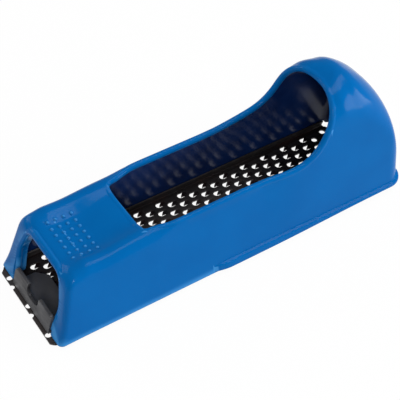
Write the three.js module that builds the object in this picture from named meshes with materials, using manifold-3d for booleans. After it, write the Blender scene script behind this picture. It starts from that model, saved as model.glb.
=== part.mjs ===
// Rasp plane: a one-hand block plane whose blade is a perforated, toothed strip.
// Millimetres, +Z up. The toe points along -X and the heel along +X.
// The origin is the centre of the bounding box's bottom, on the plane of the tooth lands.

import * as THREE from 'three';
import { mergeVertices } from 'three/addons/utils/BufferGeometryUtils.js';
import Module from 'manifold-3d';

const wasm = await Module();
wasm.setup();

// Driving sizes of the blade
const bladeLength = 140;
const bladeWidth = 40;
const bladeThickness = 0.6;
const bladeCornerCut = 2.2;
const railHeight = 2.2;
const railThickness = 0.8;

// The tooth pattern: holes on a skewed grid, so that each tooth cuts a line of its own
const holeRadius = 1.3;
const holeNotch = 0.25;
const plainHoleRadius = 1.15;
const holeStepAlong = 3.99;
const holeStepAcross = 2.05;
const holeSkewShare = 1 / 3;
const firstHoleInset = 1.25;
const patternSideMargin = 2.9;
const patternRearMargin = 1.6;
const plainFrontLength = 6.8;
const plainRearLength = 9.3;
const toothHeight = 0.8;
const toothRootLength = 1.5;
const toothLandLength = 0.35;
const toothLandWidth = 0.9;

// Driving sizes of the body; distances along it are measured back from the toe's bottom edge, or
// forward from its heel where they say so, and heights up from the top face of the blade
const bodyOverBlade = 3;
const bodyLength = bladeLength + bodyOverBlade;
const bodyHalfWidth = 21.7;
const wall = 1.8;
const gripDraft = Math.tan(THREE.MathUtils.degToRad(10.3));
const humpDraft = Math.tan(THREE.MathUtils.degToRad(8.6));
const bladeLead = 2.5;
const bottomGap = 0.3;

// The toe: a wall that leans back, with rounded edges, and the deck behind it
const toeLean = Math.tan(THREE.MathUtils.degToRad(15.6));
const toeLeanFadeStart = 4;
const toeLeanFadeEnd = 28;
const toeTopRound = 3.4;
const toeCornerRound = 2;
const deckToeHeight = 24;
const deckDishAt = 19.5;
const deckDishHeight = 23.5;
const deckShoulder = 4.9;

// The grip opening, from the deck's rear edge to the mouth of the hump, and its rolled rim
const gripStart = 37.3;
const gripStartHeight = 25.4;
const gripFrontHalfWidth = 13.4;
const gripCornerRound = 3;
const rimFullAt = 49.5;
const rimTopHeight = 27;
const rimBeadRadius = 1.45;
const rimBeadProud = 0.15;
const rimShoulder = 1.6;
const rimLevelFromHeel = 53;
const hoodPull = 15;
const hoodCornerFromHeel = 30.4;
const hoodCornerShare = 0.72;
const hoodSlantAlong = 4.8;
const hoodSlantUp = 11;
const hoodBrowFromHeel = 27.8;
const hoodShoulder = 11;

// The hump that fills the palm
const humpRiseFromHeel = 63;
const humpDraftFromHeel = 45;
const humpTopFromHeel = 20.5;
const humpHeight = 49.5;
const humpShoulder = 16;
const humpClimbPower = 1.5;
const humpFallPower = 1.15;
const humpFallRoundPower = 0.32;
const heelFootHeight = 5;
const heelRound = 8.8;
const heelRiseFromHeel = 9;
const heelRise = 1.6;
const shoulderRoomShare = 0.95;
const shoulderHeightShare = 0.8;

// The toe mouth
const mouthTopHeight = 21.8;
const mouthTopHalfWidth = 10.3;
const mouthWaistHeight = 11.5;
const mouthWaistHalfWidth = 14.4;
const mouthBottomHalfWidth = 12.2;
const mouthCornerRound = 2.5;
const mouthLipThickness = 1.5;
const mouthLipDepth = 4;

// The skirt, a small outward step round the rear half of the bottom edge
const skirtFromHeel = 83.5;
const skirtEase = 4;
const skirtOut = 1.2;
const skirtHeight = 2.8;
const skirtHeelHeight = 0.8;
const skirtLift = 0.2;

// The grip pips on the deck
const pipColumns = 4;
const pipRows = 7;
const pipPitchAlong = 2.94;
const pipPitchAcross = 3.01;
const pipFirstAt = 13;
const pipRadius = 0.75;
const pipHeight = 0.4;

// The front clamp, a bent plate whose ears bear on the toe wall; it stands a little off centre
const clampThickness = 1.2;
const clampHalfWidth = 12.9;
const clampSidestep = 1.5;
const clampFootHalfWidth = 12.3;
const clampFootEnd = 10.4;
const clampFootCornerCut = 3.5;
const clampEarHeight = 7.4;
const clampEarCut = 1;
const clampNotchHalfWidth = 3.9;
const clampNotchBottom = 3.8;
const clampNotchRound = 2.4;
const pegRadius = 0.6;
const pegReach = 0.5;
const pegSpread = 7.2;
const clampPegInset = 3.4;

// The rear hook, its nut and the tension screw
const hookThickness = 1.5;
const hookFootHalfWidth = 9;
const hookUprightHalfWidth = 5.5;
const hookUprightOver = 4.4;
const hookRearMargin = 3.6;
const hookFootLength = 9;
const hookCornerCut = 2;
const hookPegInset = 8;
const screwHeight = 9.5;
const screwRadius = 2.5;
const screwTipLength = 3.5;
const screwHeadRadius = 4.2;
const screwHeadThickness = 2.4;
const screwSlotWidth = 1.2;
const screwSlotDepth = 1.3;
const washerRadius = 4.6;
const washerThickness = 1;
const nutSide = 8;
const nutThickness = 4;
const bossRadius = 6.4;
const bossLength = 7;
const bossSeatDepth = 3.8;
const counterboreRadius = 5;

// Fits and construction
const clearance = 0.3;
const overrun = 6;
const roundSteps = 6;
const roundSides = 20;
const beadSides = 8;
const toeSteps = 3;
const deckSteps = 4;
const riseSteps = 6;
const heelSteps = 12;
const skirtSteps = 6;
const cornerSteps = 3;
const browSteps = 8;
const pipSides = 6;
const pegSides = 8;

// Places that follow from the driving sizes
const bladeFrontX = -bladeLength / 2;
const bladeRearX = bladeLength / 2;
const toeX = bladeFrontX + bladeLead;
const heelX = toeX + bodyLength + skirtOut;
const middleX = (bladeFrontX + heelX) / 2;
const tipDepth = bladeThickness + toothHeight;
const rimLineHeight = rimTopHeight - rimBeadRadius;
const beadInset = rimBeadRadius - rimBeadProud;
const rimLevelEnd = bodyLength - rimLevelFromHeel;
const hoodCornerAt = bodyLength - hoodCornerFromHeel;
const hoodCornerHeight = THREE.MathUtils.lerp(rimLineHeight, humpHeight, hoodCornerShare);
const hoodBrowAt = bodyLength - hoodBrowFromHeel;
const humpRiseStart = bodyLength - humpRiseFromHeel;
const humpDraftAt = bodyLength - humpDraftFromHeel;
const humpTopAt = bodyLength - humpTopFromHeel;
const heelRiseEnd = bodyLength - heelRiseFromHeel;
const skirtStart = bodyLength - skirtFromHeel;

function solidOf(geometry) {
  const bare = geometry.clone();
  bare.deleteAttribute('normal');
  bare.deleteAttribute('uv');
  const merged = mergeVertices(bare);
  return new wasm.Manifold(new wasm.Mesh({
    numProp: 3,
    vertProperties: new Float32Array(merged.attributes.position.array),
    triVerts: new Uint32Array(merged.index.array),
  }));
}

function geometryOf(solid) {
  const mesh = solid.getMesh();
  const points = [];
  for (let i = 0; i < mesh.numVert; i += 1) {
    for (let axis = 0; axis < 3; axis += 1) {
      points.push(mesh.vertProperties[i * mesh.numProp + axis]);
    }
  }
  const geometry = new THREE.BufferGeometry();
  geometry.setAttribute('position', new THREE.Float32BufferAttribute(points, 3));
  geometry.setIndex(Array.from(mesh.triVerts));
  const flat = geometry.toNonIndexed();
  flat.computeVertexNormals();
  return flat;
}

// A solid from points and faces, turned inside out where the faces wind the wrong way
function meshSolid(points, faces) {
  const build = (list) => new wasm.Manifold(new wasm.Mesh({
    numProp: 3,
    vertProperties: new Float32Array(points.flatMap((point) => point.toArray())),
    triVerts: new Uint32Array(list),
  }));
  const solid = build(faces);
  if (solid.volume() > 0) {
    return solid;
  }
  const turned = [];
  for (let i = 0; i < faces.length; i += 3) {
    turned.push(faces[i], faces[i + 2], faces[i + 1]);
  }
  return build(turned);
}

// A closed solid through rings of points, each ring with the same number of points
function loft(rings) {
  const count = rings[0].length;
  const points = rings.flat();
  const faces = [];
  for (let r = 0; r + 1 < rings.length; r += 1) {
    for (let i = 0; i < count; i += 1) {
      const a = r * count + i;
      const b = r * count + (i + 1) % count;
      faces.push(a, b, b + count, a, b + count, a + count);
    }
  }
  const capAt = (r, flip) => {
    const middle = new THREE.Vector3();
    rings[r].forEach((point) => middle.addScaledVector(point, 1 / count));
    points.push(middle);
    const hub = points.length - 1;
    for (let i = 0; i < count; i += 1) {
      const a = r * count + i;
      const b = r * count + (i + 1) % count;
      faces.push(...(flip ? [hub, b, a] : [hub, a, b]));
    }
  };
  capAt(0, true);
  capAt(rings.length - 1, false);
  return meshSolid(points, faces);
}

// A closed ring of tube through points that run in a loop
function loopTube(path, radius, sides) {
  const points = [];
  const faces = [];
  const count = path.length;
  const level = new THREE.Vector3(0, 1, 0);
  path.forEach((point, k) => {
    const before = path[(k + count - 1) % count];
    const after = path[(k + 1) % count];
    const ahead = new THREE.Vector3().subVectors(after, before).normalize();
    level.addScaledVector(ahead, -level.dot(ahead)).normalize();
    const rise = new THREE.Vector3().crossVectors(ahead, level);
    for (let i = 0; i < sides; i += 1) {
      const turn = (i / sides) * Math.PI * 2;
      points.push(point.clone()
        .addScaledVector(level, radius * Math.cos(turn))
        .addScaledVector(rise, radius * Math.sin(turn)));
    }
  });
  for (let k = 0; k < count; k += 1) {
    const next = (k + 1) % count;
    for (let i = 0; i < sides; i += 1) {
      const j = (i + 1) % sides;
      faces.push(k * sides + i, next * sides + i, next * sides + j);
      faces.push(k * sides + i, next * sides + j, k * sides + j);
    }
  }
  return meshSolid(points, faces);
}

function box(sizeX, sizeY, sizeZ, x, y, z) {
  const geometry = new THREE.BoxGeometry(sizeX, sizeY, sizeZ);
  geometry.translate(x, y, z);
  return solidOf(geometry);
}

// A cylinder along X at the screw's height, from one place to another
function rodAlongX(radius, fromX, toX) {
  const geometry = new THREE.CylinderGeometry(radius, radius, toX - fromX, roundSides);
  geometry.rotateZ(Math.PI / 2);
  geometry.translate((fromX + toX) / 2, 0, screwHeight);
  return solidOf(geometry);
}

// A side-view outline (x, z) made as wide as asked, centred on the centre line
function sideExtrusion(shape, width) {
  const geometry = new THREE.ExtrudeGeometry(shape, { depth: width, bevelEnabled: false });
  geometry.rotateX(Math.PI / 2);
  geometry.translate(0, width / 2, 0);
  return solidOf(geometry);
}

// A plan outline (x, y) made from one height to another
function planExtrusion(shape, fromZ, toZ) {
  const geometry = new THREE.ExtrudeGeometry(shape, { depth: toZ - fromZ, bevelEnabled: false });
  geometry.translate(0, 0, fromZ);
  return solidOf(geometry);
}

function outline(points) {
  return new THREE.Shape(points.map(([a, b]) => new THREE.Vector2(a, b)));
}

// Rounds each inner corner of a line of points with a curve that starts this far from it
function softened(points, reach) {
  const result = [points[0]];
  for (let k = 1; k + 1 < points.length; k += 1) {
    const corner = new THREE.Vector2(...points[k]);
    const towards = (other) => new THREE.Vector2(...other).sub(corner).setLength(reach).add(corner);
    const curve = new THREE.QuadraticBezierCurve(towards(points[k - 1]), corner, towards(points[k + 1]));
    curve.getPoints(cornerSteps).forEach((point) => result.push([point.x, point.y]));
  }
  result.push(points[points.length - 1]);
  return result;
}

function join(solids) {
  return solids.reduce((whole, piece) => whole.add(piece));
}

// Smooth steps through [place, value] pairs
function along(pairs, place) {
  for (let k = 0; k + 1 < pairs.length; k += 1) {
    const [fromPlace, fromValue] = pairs[k];
    const [toPlace, toValue] = pairs[k + 1];
    if (place <= toPlace) {
      const share = THREE.MathUtils.smoothstep(place, fromPlace, toPlace);
      return THREE.MathUtils.lerp(fromValue, toValue, share);
    }
  }
  return pairs[pairs.length - 1][1];
}

// How far a quarter round of this radius has drawn in at a distance from its end
function roundedDrop(radius, distance) {
  const left = Math.max(radius - distance, 0);
  return radius - Math.sqrt(radius * radius - left * left);
}

// The crown seen from the side; where the grip opening and the mouth of the hump are cut later,
// it is the form that they are cut out of
const crownLine = [
  [0, deckToeHeight],
  [deckDishAt, deckDishHeight],
  [gripStart, gripStartHeight],
  [rimFullAt, rimTopHeight],
];

const shoulderLine = [
  [0, deckShoulder],
  [gripStart, deckShoulder],
  [rimFullAt, rimShoulder],
  [humpRiseStart, rimShoulder],
  [hoodBrowAt, hoodShoulder],
  [humpTopAt, humpShoulder],
];

const draftLine = [
  [humpRiseStart, gripDraft],
  [humpDraftAt, humpDraft],
];

function crownHeight(at) {
  if (at <= humpRiseStart) {
    return along(crownLine, at) - roundedDrop(toeTopRound, at);
  }
  if (at <= humpTopAt) {
    const leftShare = (humpTopAt - at) / (humpTopAt - humpRiseStart);
    return THREE.MathUtils.lerp(humpHeight, rimTopHeight, leftShare ** humpClimbPower);
  }
  const share = Math.min((at - humpTopAt) / (bodyLength - humpTopAt), 1);
  const leftShare = Math.max(1 - share ** humpFallPower, 0) ** humpFallRoundPower;
  return THREE.MathUtils.lerp(heelFootHeight, humpHeight, leftShare);
}

function halfWidthAt(at) {
  return bodyHalfWidth - roundedDrop(toeCornerRound, at) - roundedDrop(heelRound, bodyLength - at);
}

function leanAt(at) {
  return toeLean * (1 - THREE.MathUtils.smoothstep(at, toeLeanFadeStart, toeLeanFadeEnd));
}

function bottomAt(at) {
  return bottomGap + heelRise * THREE.MathUtils.smoothstep(at, humpRiseStart, heelRiseEnd);
}

// The cross-section at a distance from the toe, drawn in by an inset, as its right half from
// the bottom edge up to the crown: a drafted side, an elliptic shoulder that touches it, and a
// flat crown, which the shoulder nearly closes over where it has little room across
function halfSection(at, inset, bottom) {
  const draft = along(draftLine, at);
  const slope = Math.hypot(1, draft);
  const half = halfWidthAt(at) - inset * slope;
  const top = crownHeight(at) - inset;
  const roomUp = (top - bottom) * shoulderHeightShare;
  const up = Math.max(Math.min(along(shoulderLine, at) - inset, roomUp), bottomGap);
  const centreZ = top - up;
  const sideY = half - draft * centreZ;
  const reach = Math.min(up * slope, sideY * shoulderRoomShare);
  const across = Math.sqrt(reach * reach - draft * up * draft * up);
  const firstTurn = Math.atan2(draft * up, across);
  const points = [[half - draft * bottom, bottom]];
  for (let k = 0; k <= roundSteps; k += 1) {
    const turn = THREE.MathUtils.lerp(firstTurn, Math.PI / 2, k / roundSteps);
    points.push([sideY - reach + across * Math.cos(turn), centreZ + up * Math.sin(turn)]);
  }
  return points;
}

function ringAt(at, x, inset, bottom) {
  const right = halfSection(at, inset, bottom);
  const left = right.map(([y, z]) => [-y, z]).reverse();
  return [...right, ...left].map(([y, z]) => new THREE.Vector3(x + leanAt(at) * z, y, z));
}

// Even steps from one place to another, without the first
function steps(from, to, count) {
  return Array.from({ length: count }, (_, k) => THREE.MathUtils.lerp(from, to, (k + 1) / count));
}

// Places along the body where a cross-section is drawn
function stations() {
  return [
    0,
    ...steps(0, Math.PI / 2, toeSteps).map((turn) => toeTopRound * (1 - Math.cos(turn))),
    ...steps(toeTopRound, gripStart, deckSteps),
    ...steps(gripStart, rimFullAt, deckSteps),
    humpRiseStart,
    ...steps(humpRiseStart, hoodCornerAt, riseSteps),
    ...steps(hoodCornerAt, humpTopAt, deckSteps),
    ...steps(0, Math.PI / 2, heelSteps).map((turn) => (
      humpTopAt + (bodyLength - humpTopAt) * Math.sin(turn)
    )),
  ];
}

function outerForm() {
  return loft(stations().map((at) => ringAt(at, at, 0, bottomAt(at))));
}

function innerForm() {
  const shrink = (bodyLength - 2 * wall) / bodyLength;
  return loft(stations().map((at) => ringAt(at, wall + at * shrink, wall, -overrun)));
}

function skirtRing(at, out) {
  const draft = along(draftLine, at);
  const half = bodyHalfWidth - roundedDrop(heelRound + skirtOut, bodyLength + skirtOut - at);
  const heelShare = THREE.MathUtils.smoothstep(at, humpRiseStart, heelRiseEnd);
  const low = bottomAt(at) + skirtLift;
  const high = low + THREE.MathUtils.lerp(skirtHeight, skirtHeelHeight, heelShare) - bottomGap;
  const right = [
    [half + out - draft * low, low],
    [half + out - draft * high, high],
    [half - wall / 2 - draft * high, high + out + wall / 2],
  ];
  const left = right.map(([y, z]) => [-y, z]).reverse();
  return [...right, ...left].map(([y, z]) => new THREE.Vector3(at, y, z));
}

function skirt() {
  const easeTurns = [0, ...steps(0, Math.PI / 2, cornerSteps)];
  const roundTurns = steps(0, Math.PI / 2, roundSteps);
  const reach = heelRound + skirtOut;
  return loft([
    ...easeTurns.map((turn) => (
      skirtRing(skirtStart + skirtEase * (turn / (Math.PI / 2)), skirtOut * Math.sin(turn))
    )),
    ...steps(humpRiseStart, bodyLength - heelRound, skirtSteps).map((at) => skirtRing(at, skirtOut)),
    ...roundTurns.map((turn) => skirtRing(bodyLength - heelRound + reach * Math.sin(turn), skirtOut)),
  ]);
}

// The rim's left half: along the grip, then up the side of the hump's mouth to its corner
function rimSide(frontHeight) {
  const at = (x, z) => new THREE.Vector2(x, z);
  const levelEnd = at(rimLevelEnd, rimLineHeight);
  const corner = at(hoodCornerAt, hoodCornerHeight);
  const front = new THREE.LineCurve(at(gripStart, frontHeight), at(rimFullAt, rimLineHeight));
  const rise = new THREE.CubicBezierCurve(
    levelEnd,
    levelEnd.clone().add(at(hoodPull, 0)),
    corner.clone().sub(at(hoodSlantAlong, hoodSlantUp)),
    corner,
  );
  return [...front.getPoints(deckSteps), ...rise.getPoints(riseSteps)].map((point) => {
    const wide = halfWidthOfForm(point.x, point.y, beadInset);
    const ease = THREE.MathUtils.smoothstep(point.x, gripStart, rimFullAt);
    const y = THREE.MathUtils.lerp(gripFrontHalfWidth, wide, Math.sqrt(ease));
    return new THREE.Vector3(point.x, y, point.y);
  });
}

// Half the width of the form at a height, drawn in by an inset
function halfWidthOfForm(at, z, inset) {
  const section = halfSection(at, inset, 0);
  for (let k = 0; k + 1 < section.length; k += 1) {
    const [lowY, lowZ] = section[k];
    const [highY, highZ] = section[k + 1];
    if (z <= highZ) {
      return THREE.MathUtils.lerp(lowY, highY, (z - lowZ) / (highZ - lowZ));
    }
  }
  return section[section.length - 1][0];
}

// The height of the form over a place off the centre line, drawn in by an inset
function heightOfForm(at, y, inset) {
  const section = halfSection(at, inset, 0).reverse();
  for (let k = 0; k + 1 < section.length; k += 1) {
    const [innerY, innerZ] = section[k];
    const [outerY, outerZ] = section[k + 1];
    if (Math.abs(y) <= innerY) {
      return innerZ;
    }
    if (Math.abs(y) <= outerY) {
      return THREE.MathUtils.lerp(innerZ, outerZ, (Math.abs(y) - innerY) / (outerY - innerY));
    }
  }
  return section[section.length - 1][1];
}

// The rim's path from its left front corner back over the brow to its right front corner
function rimPath(frontHeight) {
  const left = rimSide(frontHeight);
  const corner = left[left.length - 1];
  const brow = steps(0, Math.PI, browSteps).map((turn) => {
    const share = Math.cos(turn);
    const x = THREE.MathUtils.lerp(hoodBrowAt, corner.x, share * share);
    return new THREE.Vector3(x, corner.y * share, heightOfForm(x, corner.y * share, beadInset));
  });
  const mirrored = new THREE.Vector3(1, -1, 1);
  const right = left.slice(0, -1).map((point) => point.clone().multiply(mirrored)).reverse();
  return [...left, ...brow, ...right];
}

// Opens the mouth of the hump square to its skin, along the rim's path
function humpMouthCutter() {
  const arch = rimPath(rimLineHeight).filter((point) => point.x >= rimLevelEnd);
  const moved = (out, ahead) => arch.map((point) => {
    const radial = new THREE.Vector3(0, point.y, point.z - rimLineHeight).setLength(out);
    return point.clone().add(radial).setX(point.x + ahead);
  });
  const far = moved(overrun * 2, -clearance);
  const front = far.map((point) => point.clone().setX(humpRiseStart));
  return loft([front, far, arch, moved(-wall * 2, clearance)]);
}

function gripCutter() {
  const half = halfWidthOfForm(rimFullAt, rimLineHeight, beadInset) - rimBeadRadius / 2;
  const skin = planExtrusion(outline(softened([
    [rimLevelEnd, -half],
    [rimFullAt, -half],
    [gripStart, -gripFrontHalfWidth],
    [gripStart, gripFrontHalfWidth],
    [rimFullAt, half],
    [rimLevelEnd, half],
  ], gripCornerRound)), gripStartHeight - deckShoulder, humpHeight + overrun);
  const above = outline([
    [gripStart, gripStartHeight + clearance],
    [rimFullAt, rimLineHeight],
    [rimLevelEnd, rimLineHeight],
    [rimLevelEnd, humpHeight + overrun],
    [gripStart, humpHeight + overrun],
  ]);
  return skin.add(sideExtrusion(above, (bodyHalfWidth + overrun) * 2)).add(humpMouthCutter());
}

// The rolled rim, a bead that runs once round the grip opening
function rimBead() {
  const frontHeight = gripStartHeight - beadInset;
  const path = rimPath(frontHeight);
  const front = steps(-1, 1, cornerSteps).slice(0, -1).map((share) => (
    new THREE.Vector3(gripStart, path[0].y * share, frontHeight)
  ));
  return loopTube([...path, ...front], rimBeadRadius, beadSides);
}

// A slab of the mouth's outline grown outwards, leaning like the toe wall, between two depths
function mouthSlab(grow, fromDepth, toDepth, low) {
  const right = softened([
    [mouthBottomHalfWidth + grow, low],
    [mouthWaistHalfWidth + grow, mouthWaistHeight],
    [mouthTopHalfWidth + grow, mouthTopHeight + grow],
    [0, mouthTopHeight + grow],
  ], mouthCornerRound + grow);
  const left = right.slice(0, -1).map(([y, z]) => [-y, z]).reverse();
  return loft([fromDepth, toDepth].map((depth) => [...right, ...left].map(
    ([y, z]) => new THREE.Vector3(depth + toeLean * z, y, z),
  )));
}

const mouthFoot = clampThickness + clearance * 2 + bottomGap;

// The hollow inside the body, held back where the mouth's lip turns inwards
function hollow() {
  return innerForm().subtract(mouthSlab(mouthLipThickness, -overrun, mouthLipDepth, mouthFoot));
}

function mouthCutter() {
  const slot = box(
    toeTopRound * 2 + overrun,
    (clampHalfWidth + clearance * 2) * 2,
    mouthFoot + overrun,
    0,
    -clampSidestep,
    (mouthFoot - overrun) / 2,
  );
  return mouthSlab(0, -overrun, mouthLipDepth + overrun, -overrun).add(slot);
}

// The deck's height over a place along the blade, allowing for the toe's lean
function deckHeightOver(x) {
  let at = x;
  for (let k = 0; k < roundSteps; k += 1) {
    at = x - leanAt(at) * crownHeight(at);
  }
  return crownHeight(at);
}

function pips() {
  const list = [];
  for (let column = 0; column < pipColumns; column += 1) {
    for (let row = 0; row < pipRows; row += 1) {
      const x = pipFirstAt + column * pipPitchAlong;
      const y = (row - (pipRows - 1) / 2) * pipPitchAcross;
      const dome = new THREE.CylinderGeometry(pipRadius / 2, pipRadius, pipHeight * 2, pipSides);
      dome.rotateX(Math.PI / 2);
      dome.translate(x, y, deckHeightOver(x));
      list.push(solidOf(dome));
    }
  }
  return join(list);
}

// Room along the inside of both long walls for the blade's turned-up rails
function railRoom() {
  const frontX = bladeFrontX - toeX - clearance - overrun;
  const rearX = bladeRearX - toeX + clearance;
  const top = railHeight + clearance;
  const half = bladeWidth / 2 + clearance;
  return box(rearX - frontX, half * 2, top + overrun, (frontX + rearX) / 2, 0, (top - overrun) / 2);
}

const seatAt = bodyLength - bossSeatDepth;

function screwBoss() {
  return rodAlongX(bossRadius, bodyLength - bossLength, bodyLength).intersect(outerForm());
}

function screwPassage() {
  const hole = rodAlongX(screwRadius + clearance, bodyLength - bossLength - overrun, bodyLength);
  return hole.add(rodAlongX(counterboreRadius, seatAt, bodyLength + overrun));
}

function bodySolid() {
  return outerForm()
    .add(skirt())
    .subtract(hollow())
    .subtract(railRoom())
    .subtract(mouthCutter())
    .subtract(gripCutter())
    .add(rimBead())
    .add(screwBoss())
    .subtract(screwPassage())
    .add(pips());
}

// The pattern's holes, counted from the hole on the centre line at the front
function patternHoles() {
  const reach = bladeWidth / 2 - patternSideMargin;
  const count = Math.ceil(bladeLength / holeStepAlong) * 2;
  const list = [];
  for (let i = -count; i <= count; i += 1) {
    for (let j = -count; j <= count; j += 1) {
      const x = bladeFrontX + firstHoleInset + holeStepAlong * (i - j * holeSkewShare);
      const y = -holeStepAcross * (i + j * 2);
      const inLength = x > bladeFrontX - holeNotch && x < bladeRearX - patternRearMargin;
      if (inLength && Math.abs(y) <= reach) {
        list.push(new THREE.Vector2(x, y));
      }
    }
  }
  return list;
}

function nearestHole(x, y) {
  const wanted = new THREE.Vector2(x, y);
  return patternHoles().reduce((best, hole) => (
    hole.distanceTo(wanted) < best.distanceTo(wanted) ? hole : best
  ));
}

function isToothed(hole) {
  return hole.x > bladeFrontX + plainFrontLength && hole.x < bladeRearX - plainRearLength;
}

// A toothed hole is round towards the toe, with two tips and a notch where its tooth rises
const toothedTurns = [60, 120, 180, 240, 300].map((turn) => THREE.MathUtils.degToRad(turn));

function holeCutter(hole) {
  const round = toothedTurns.map((turn) => [
    hole.x + holeRadius * Math.cos(turn),
    hole.y + holeRadius * Math.sin(turn),
  ]);
  const plain = steps(0, Math.PI * 2, roundSteps).map((turn) => [
    hole.x + plainHoleRadius * Math.cos(turn),
    hole.y + plainHoleRadius * Math.sin(turn),
  ]);
  const points = isToothed(hole) ? [...round, [hole.x + holeNotch, hole.y]] : plain;
  return planExtrusion(outline(points), -tipDepth - overrun, overrun);
}

// A tooth stands under the blade behind its hole, steep in front and sloping back to its root
function tooth(hole) {
  const front = hole.x + holeRadius * Math.cos(toothedTurns[0]);
  const halfBase = holeRadius * Math.sin(toothedTurns[0]);
  const ringOf = (halfWidth, length, z) => [
    new THREE.Vector3(front, hole.y + halfWidth, z),
    new THREE.Vector3(front, hole.y - halfWidth, z),
    new THREE.Vector3(front + length, hole.y, z),
  ];
  return loft([
    ringOf(halfBase, toothRootLength, -bladeThickness / 2),
    ringOf(halfBase, toothRootLength, -bladeThickness),
    ringOf(toothLandWidth / 2, toothLandLength, -tipDepth),
  ]);
}

function rail(side) {
  return box(
    bladeLength - bladeCornerCut * 2,
    railThickness,
    railHeight + bladeThickness / 2,
    0,
    side * (bladeWidth / 2 - railThickness / 2),
    (railHeight - bladeThickness / 2) / 2,
  );
}

function bladeSolid() {
  const half = bladeWidth / 2;
  const cut = bladeCornerCut;
  const strip = planExtrusion(outline([
    [bladeFrontX + cut, -half],
    [bladeRearX - cut, -half],
    [bladeRearX, cut - half],
    [bladeRearX, half - cut],
    [bladeRearX - cut, half],
    [bladeFrontX + cut, half],
    [bladeFrontX, half - cut],
    [bladeFrontX, cut - half],
  ]), -bladeThickness, 0);
  const holes = patternHoles();
  const teeth = join(holes.filter(isToothed).map(tooth));
  const cutters = join(holes.map(holeCutter));
  return strip.add(teeth).subtract(cutters).add(rail(1)).add(rail(-1));
}

// Two pegs under a plate that drop through plain holes of the blade
function pegs(x, middleY, fromZ) {
  const reach = bladeThickness + pegReach;
  return [1, -1].map((side) => {
    const hole = nearestHole(x, middleY + side * pegSpread);
    const peg = new THREE.CylinderGeometry(pegRadius, pegRadius, fromZ + reach, pegSides);
    peg.rotateX(Math.PI / 2);
    peg.translate(hole.x, hole.y, (fromZ - reach) / 2);
    return solidOf(peg);
  });
}

function frontClampSolid() {
  const low = clearance;
  const high = low + clampThickness;
  const rearFace = (z) => toeX - clearance + toeLean * z;
  const frontFace = (z) => rearFace(z) - clampThickness * Math.hypot(1, toeLean);
  const footEnd = toeX + clampFootEnd;
  const plate = sideExtrusion(outline([
    [footEnd, low],
    [footEnd, high],
    [rearFace(high), high],
    [rearFace(clampEarHeight), clampEarHeight],
    [frontFace(clampEarHeight), clampEarHeight],
    [frontFace(high), high],
    [frontFace(high) + clampThickness / 2, low],
  ]), clampHalfWidth * 2);
  const notchTop = clampEarHeight + overrun;
  const notchOutline = softened([
    [-clampNotchHalfWidth, notchTop],
    [-clampNotchHalfWidth, clampNotchBottom],
    [clampNotchHalfWidth, clampNotchBottom],
    [clampNotchHalfWidth, notchTop],
  ], clampNotchRound);
  const notch = loft([toeX - overrun, toeX + overrun].map((x) => (
    notchOutline.map(([y, z]) => new THREE.Vector3(x, y, z))
  )));
  const frontX = rearFace(high) + clearance;
  const trims = [1, -1].map((side) => planExtrusion(outline([
    [frontX, side * clampFootHalfWidth],
    [footEnd - clampFootCornerCut, side * clampFootHalfWidth],
    [footEnd + clearance, side * (clampFootHalfWidth - clampFootCornerCut - clearance)],
    [footEnd + clearance, side * (clampHalfWidth + overrun)],
    [frontX, side * (clampHalfWidth + overrun)],
  ]), -overrun, high + clearance));
  const earCorners = [1, -1].map((side) => box(
    overrun * 2,
    clampEarCut * 2,
    clampEarCut * 2,
    toeX,
    0,
    0,
  ).rotate([45, 0, 0]).translate([0, side * clampHalfWidth, clampEarHeight]));
  const cut = join([notch, ...trims, ...earCorners]);
  const shifted = plate.subtract(cut).translate([0, -clampSidestep, 0]);
  const pegX = bladeFrontX + clampPegInset;
  return join([shifted, ...pegs(pegX, -clampSidestep, high - clampThickness / 2)]);
}

// The hook's foot lies on the blade in front of its upright, which the screw pulls back
const hookRearX = bladeRearX - hookRearMargin;
const hookFrontX = hookRearX - hookFootLength;

function rearHookSolid() {
  const low = clearance;
  const high = low + hookThickness;
  const top = screwHeight + hookUprightOver;
  const foot = planExtrusion(outline([
    [hookRearX, -hookFootHalfWidth],
    [hookFrontX + hookCornerCut, -hookFootHalfWidth],
    [hookFrontX, hookCornerCut - hookFootHalfWidth],
    [hookFrontX, hookFootHalfWidth - hookCornerCut],
    [hookFrontX + hookCornerCut, hookFootHalfWidth],
    [hookRearX, hookFootHalfWidth],
  ]), low, high);
  const upright = box(
    hookThickness,
    hookUprightHalfWidth * 2,
    top - low,
    hookRearX - hookThickness / 2,
    0,
    (top + low) / 2,
  );
  const hole = rodAlongX(screwRadius + clearance, hookRearX - hookThickness - overrun, hookRearX + overrun);
  const pegX = bladeRearX - hookPegInset;
  return join([foot, upright, ...pegs(pegX, 0, high - hookThickness / 2)]).subtract(hole);
}

const nutRearX = hookRearX - hookThickness - clearance;

function tensionNutSolid() {
  const frontX = nutRearX - nutThickness;
  const block = box(nutThickness, nutSide, nutSide, (frontX + nutRearX) / 2, 0, screwHeight);
  return block.subtract(rodAlongX(screwRadius + clearance, frontX - overrun, nutRearX + overrun));
}

const washerFrontX = toeX + seatAt + clearance;
const headFrontX = washerFrontX + washerThickness + clearance;

function washerSolid() {
  const disc = rodAlongX(washerRadius, washerFrontX, washerFrontX + washerThickness);
  return disc.subtract(rodAlongX(screwRadius + clearance, washerFrontX - overrun, headFrontX + overrun));
}

function tensionScrewSolid() {
  const headRearX = headFrontX + screwHeadThickness;
  const tipX = nutRearX - nutThickness - screwTipLength;
  const shank = rodAlongX(screwRadius, tipX, (headFrontX + headRearX) / 2);
  const head = rodAlongX(screwHeadRadius, headFrontX, headRearX);
  const slot = box(
    screwSlotDepth * 2,
    screwHeadRadius * 2 + overrun,
    screwSlotWidth,
    headRearX,
    0,
    screwHeight,
  );
  return head.add(shank).subtract(slot);
}

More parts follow.
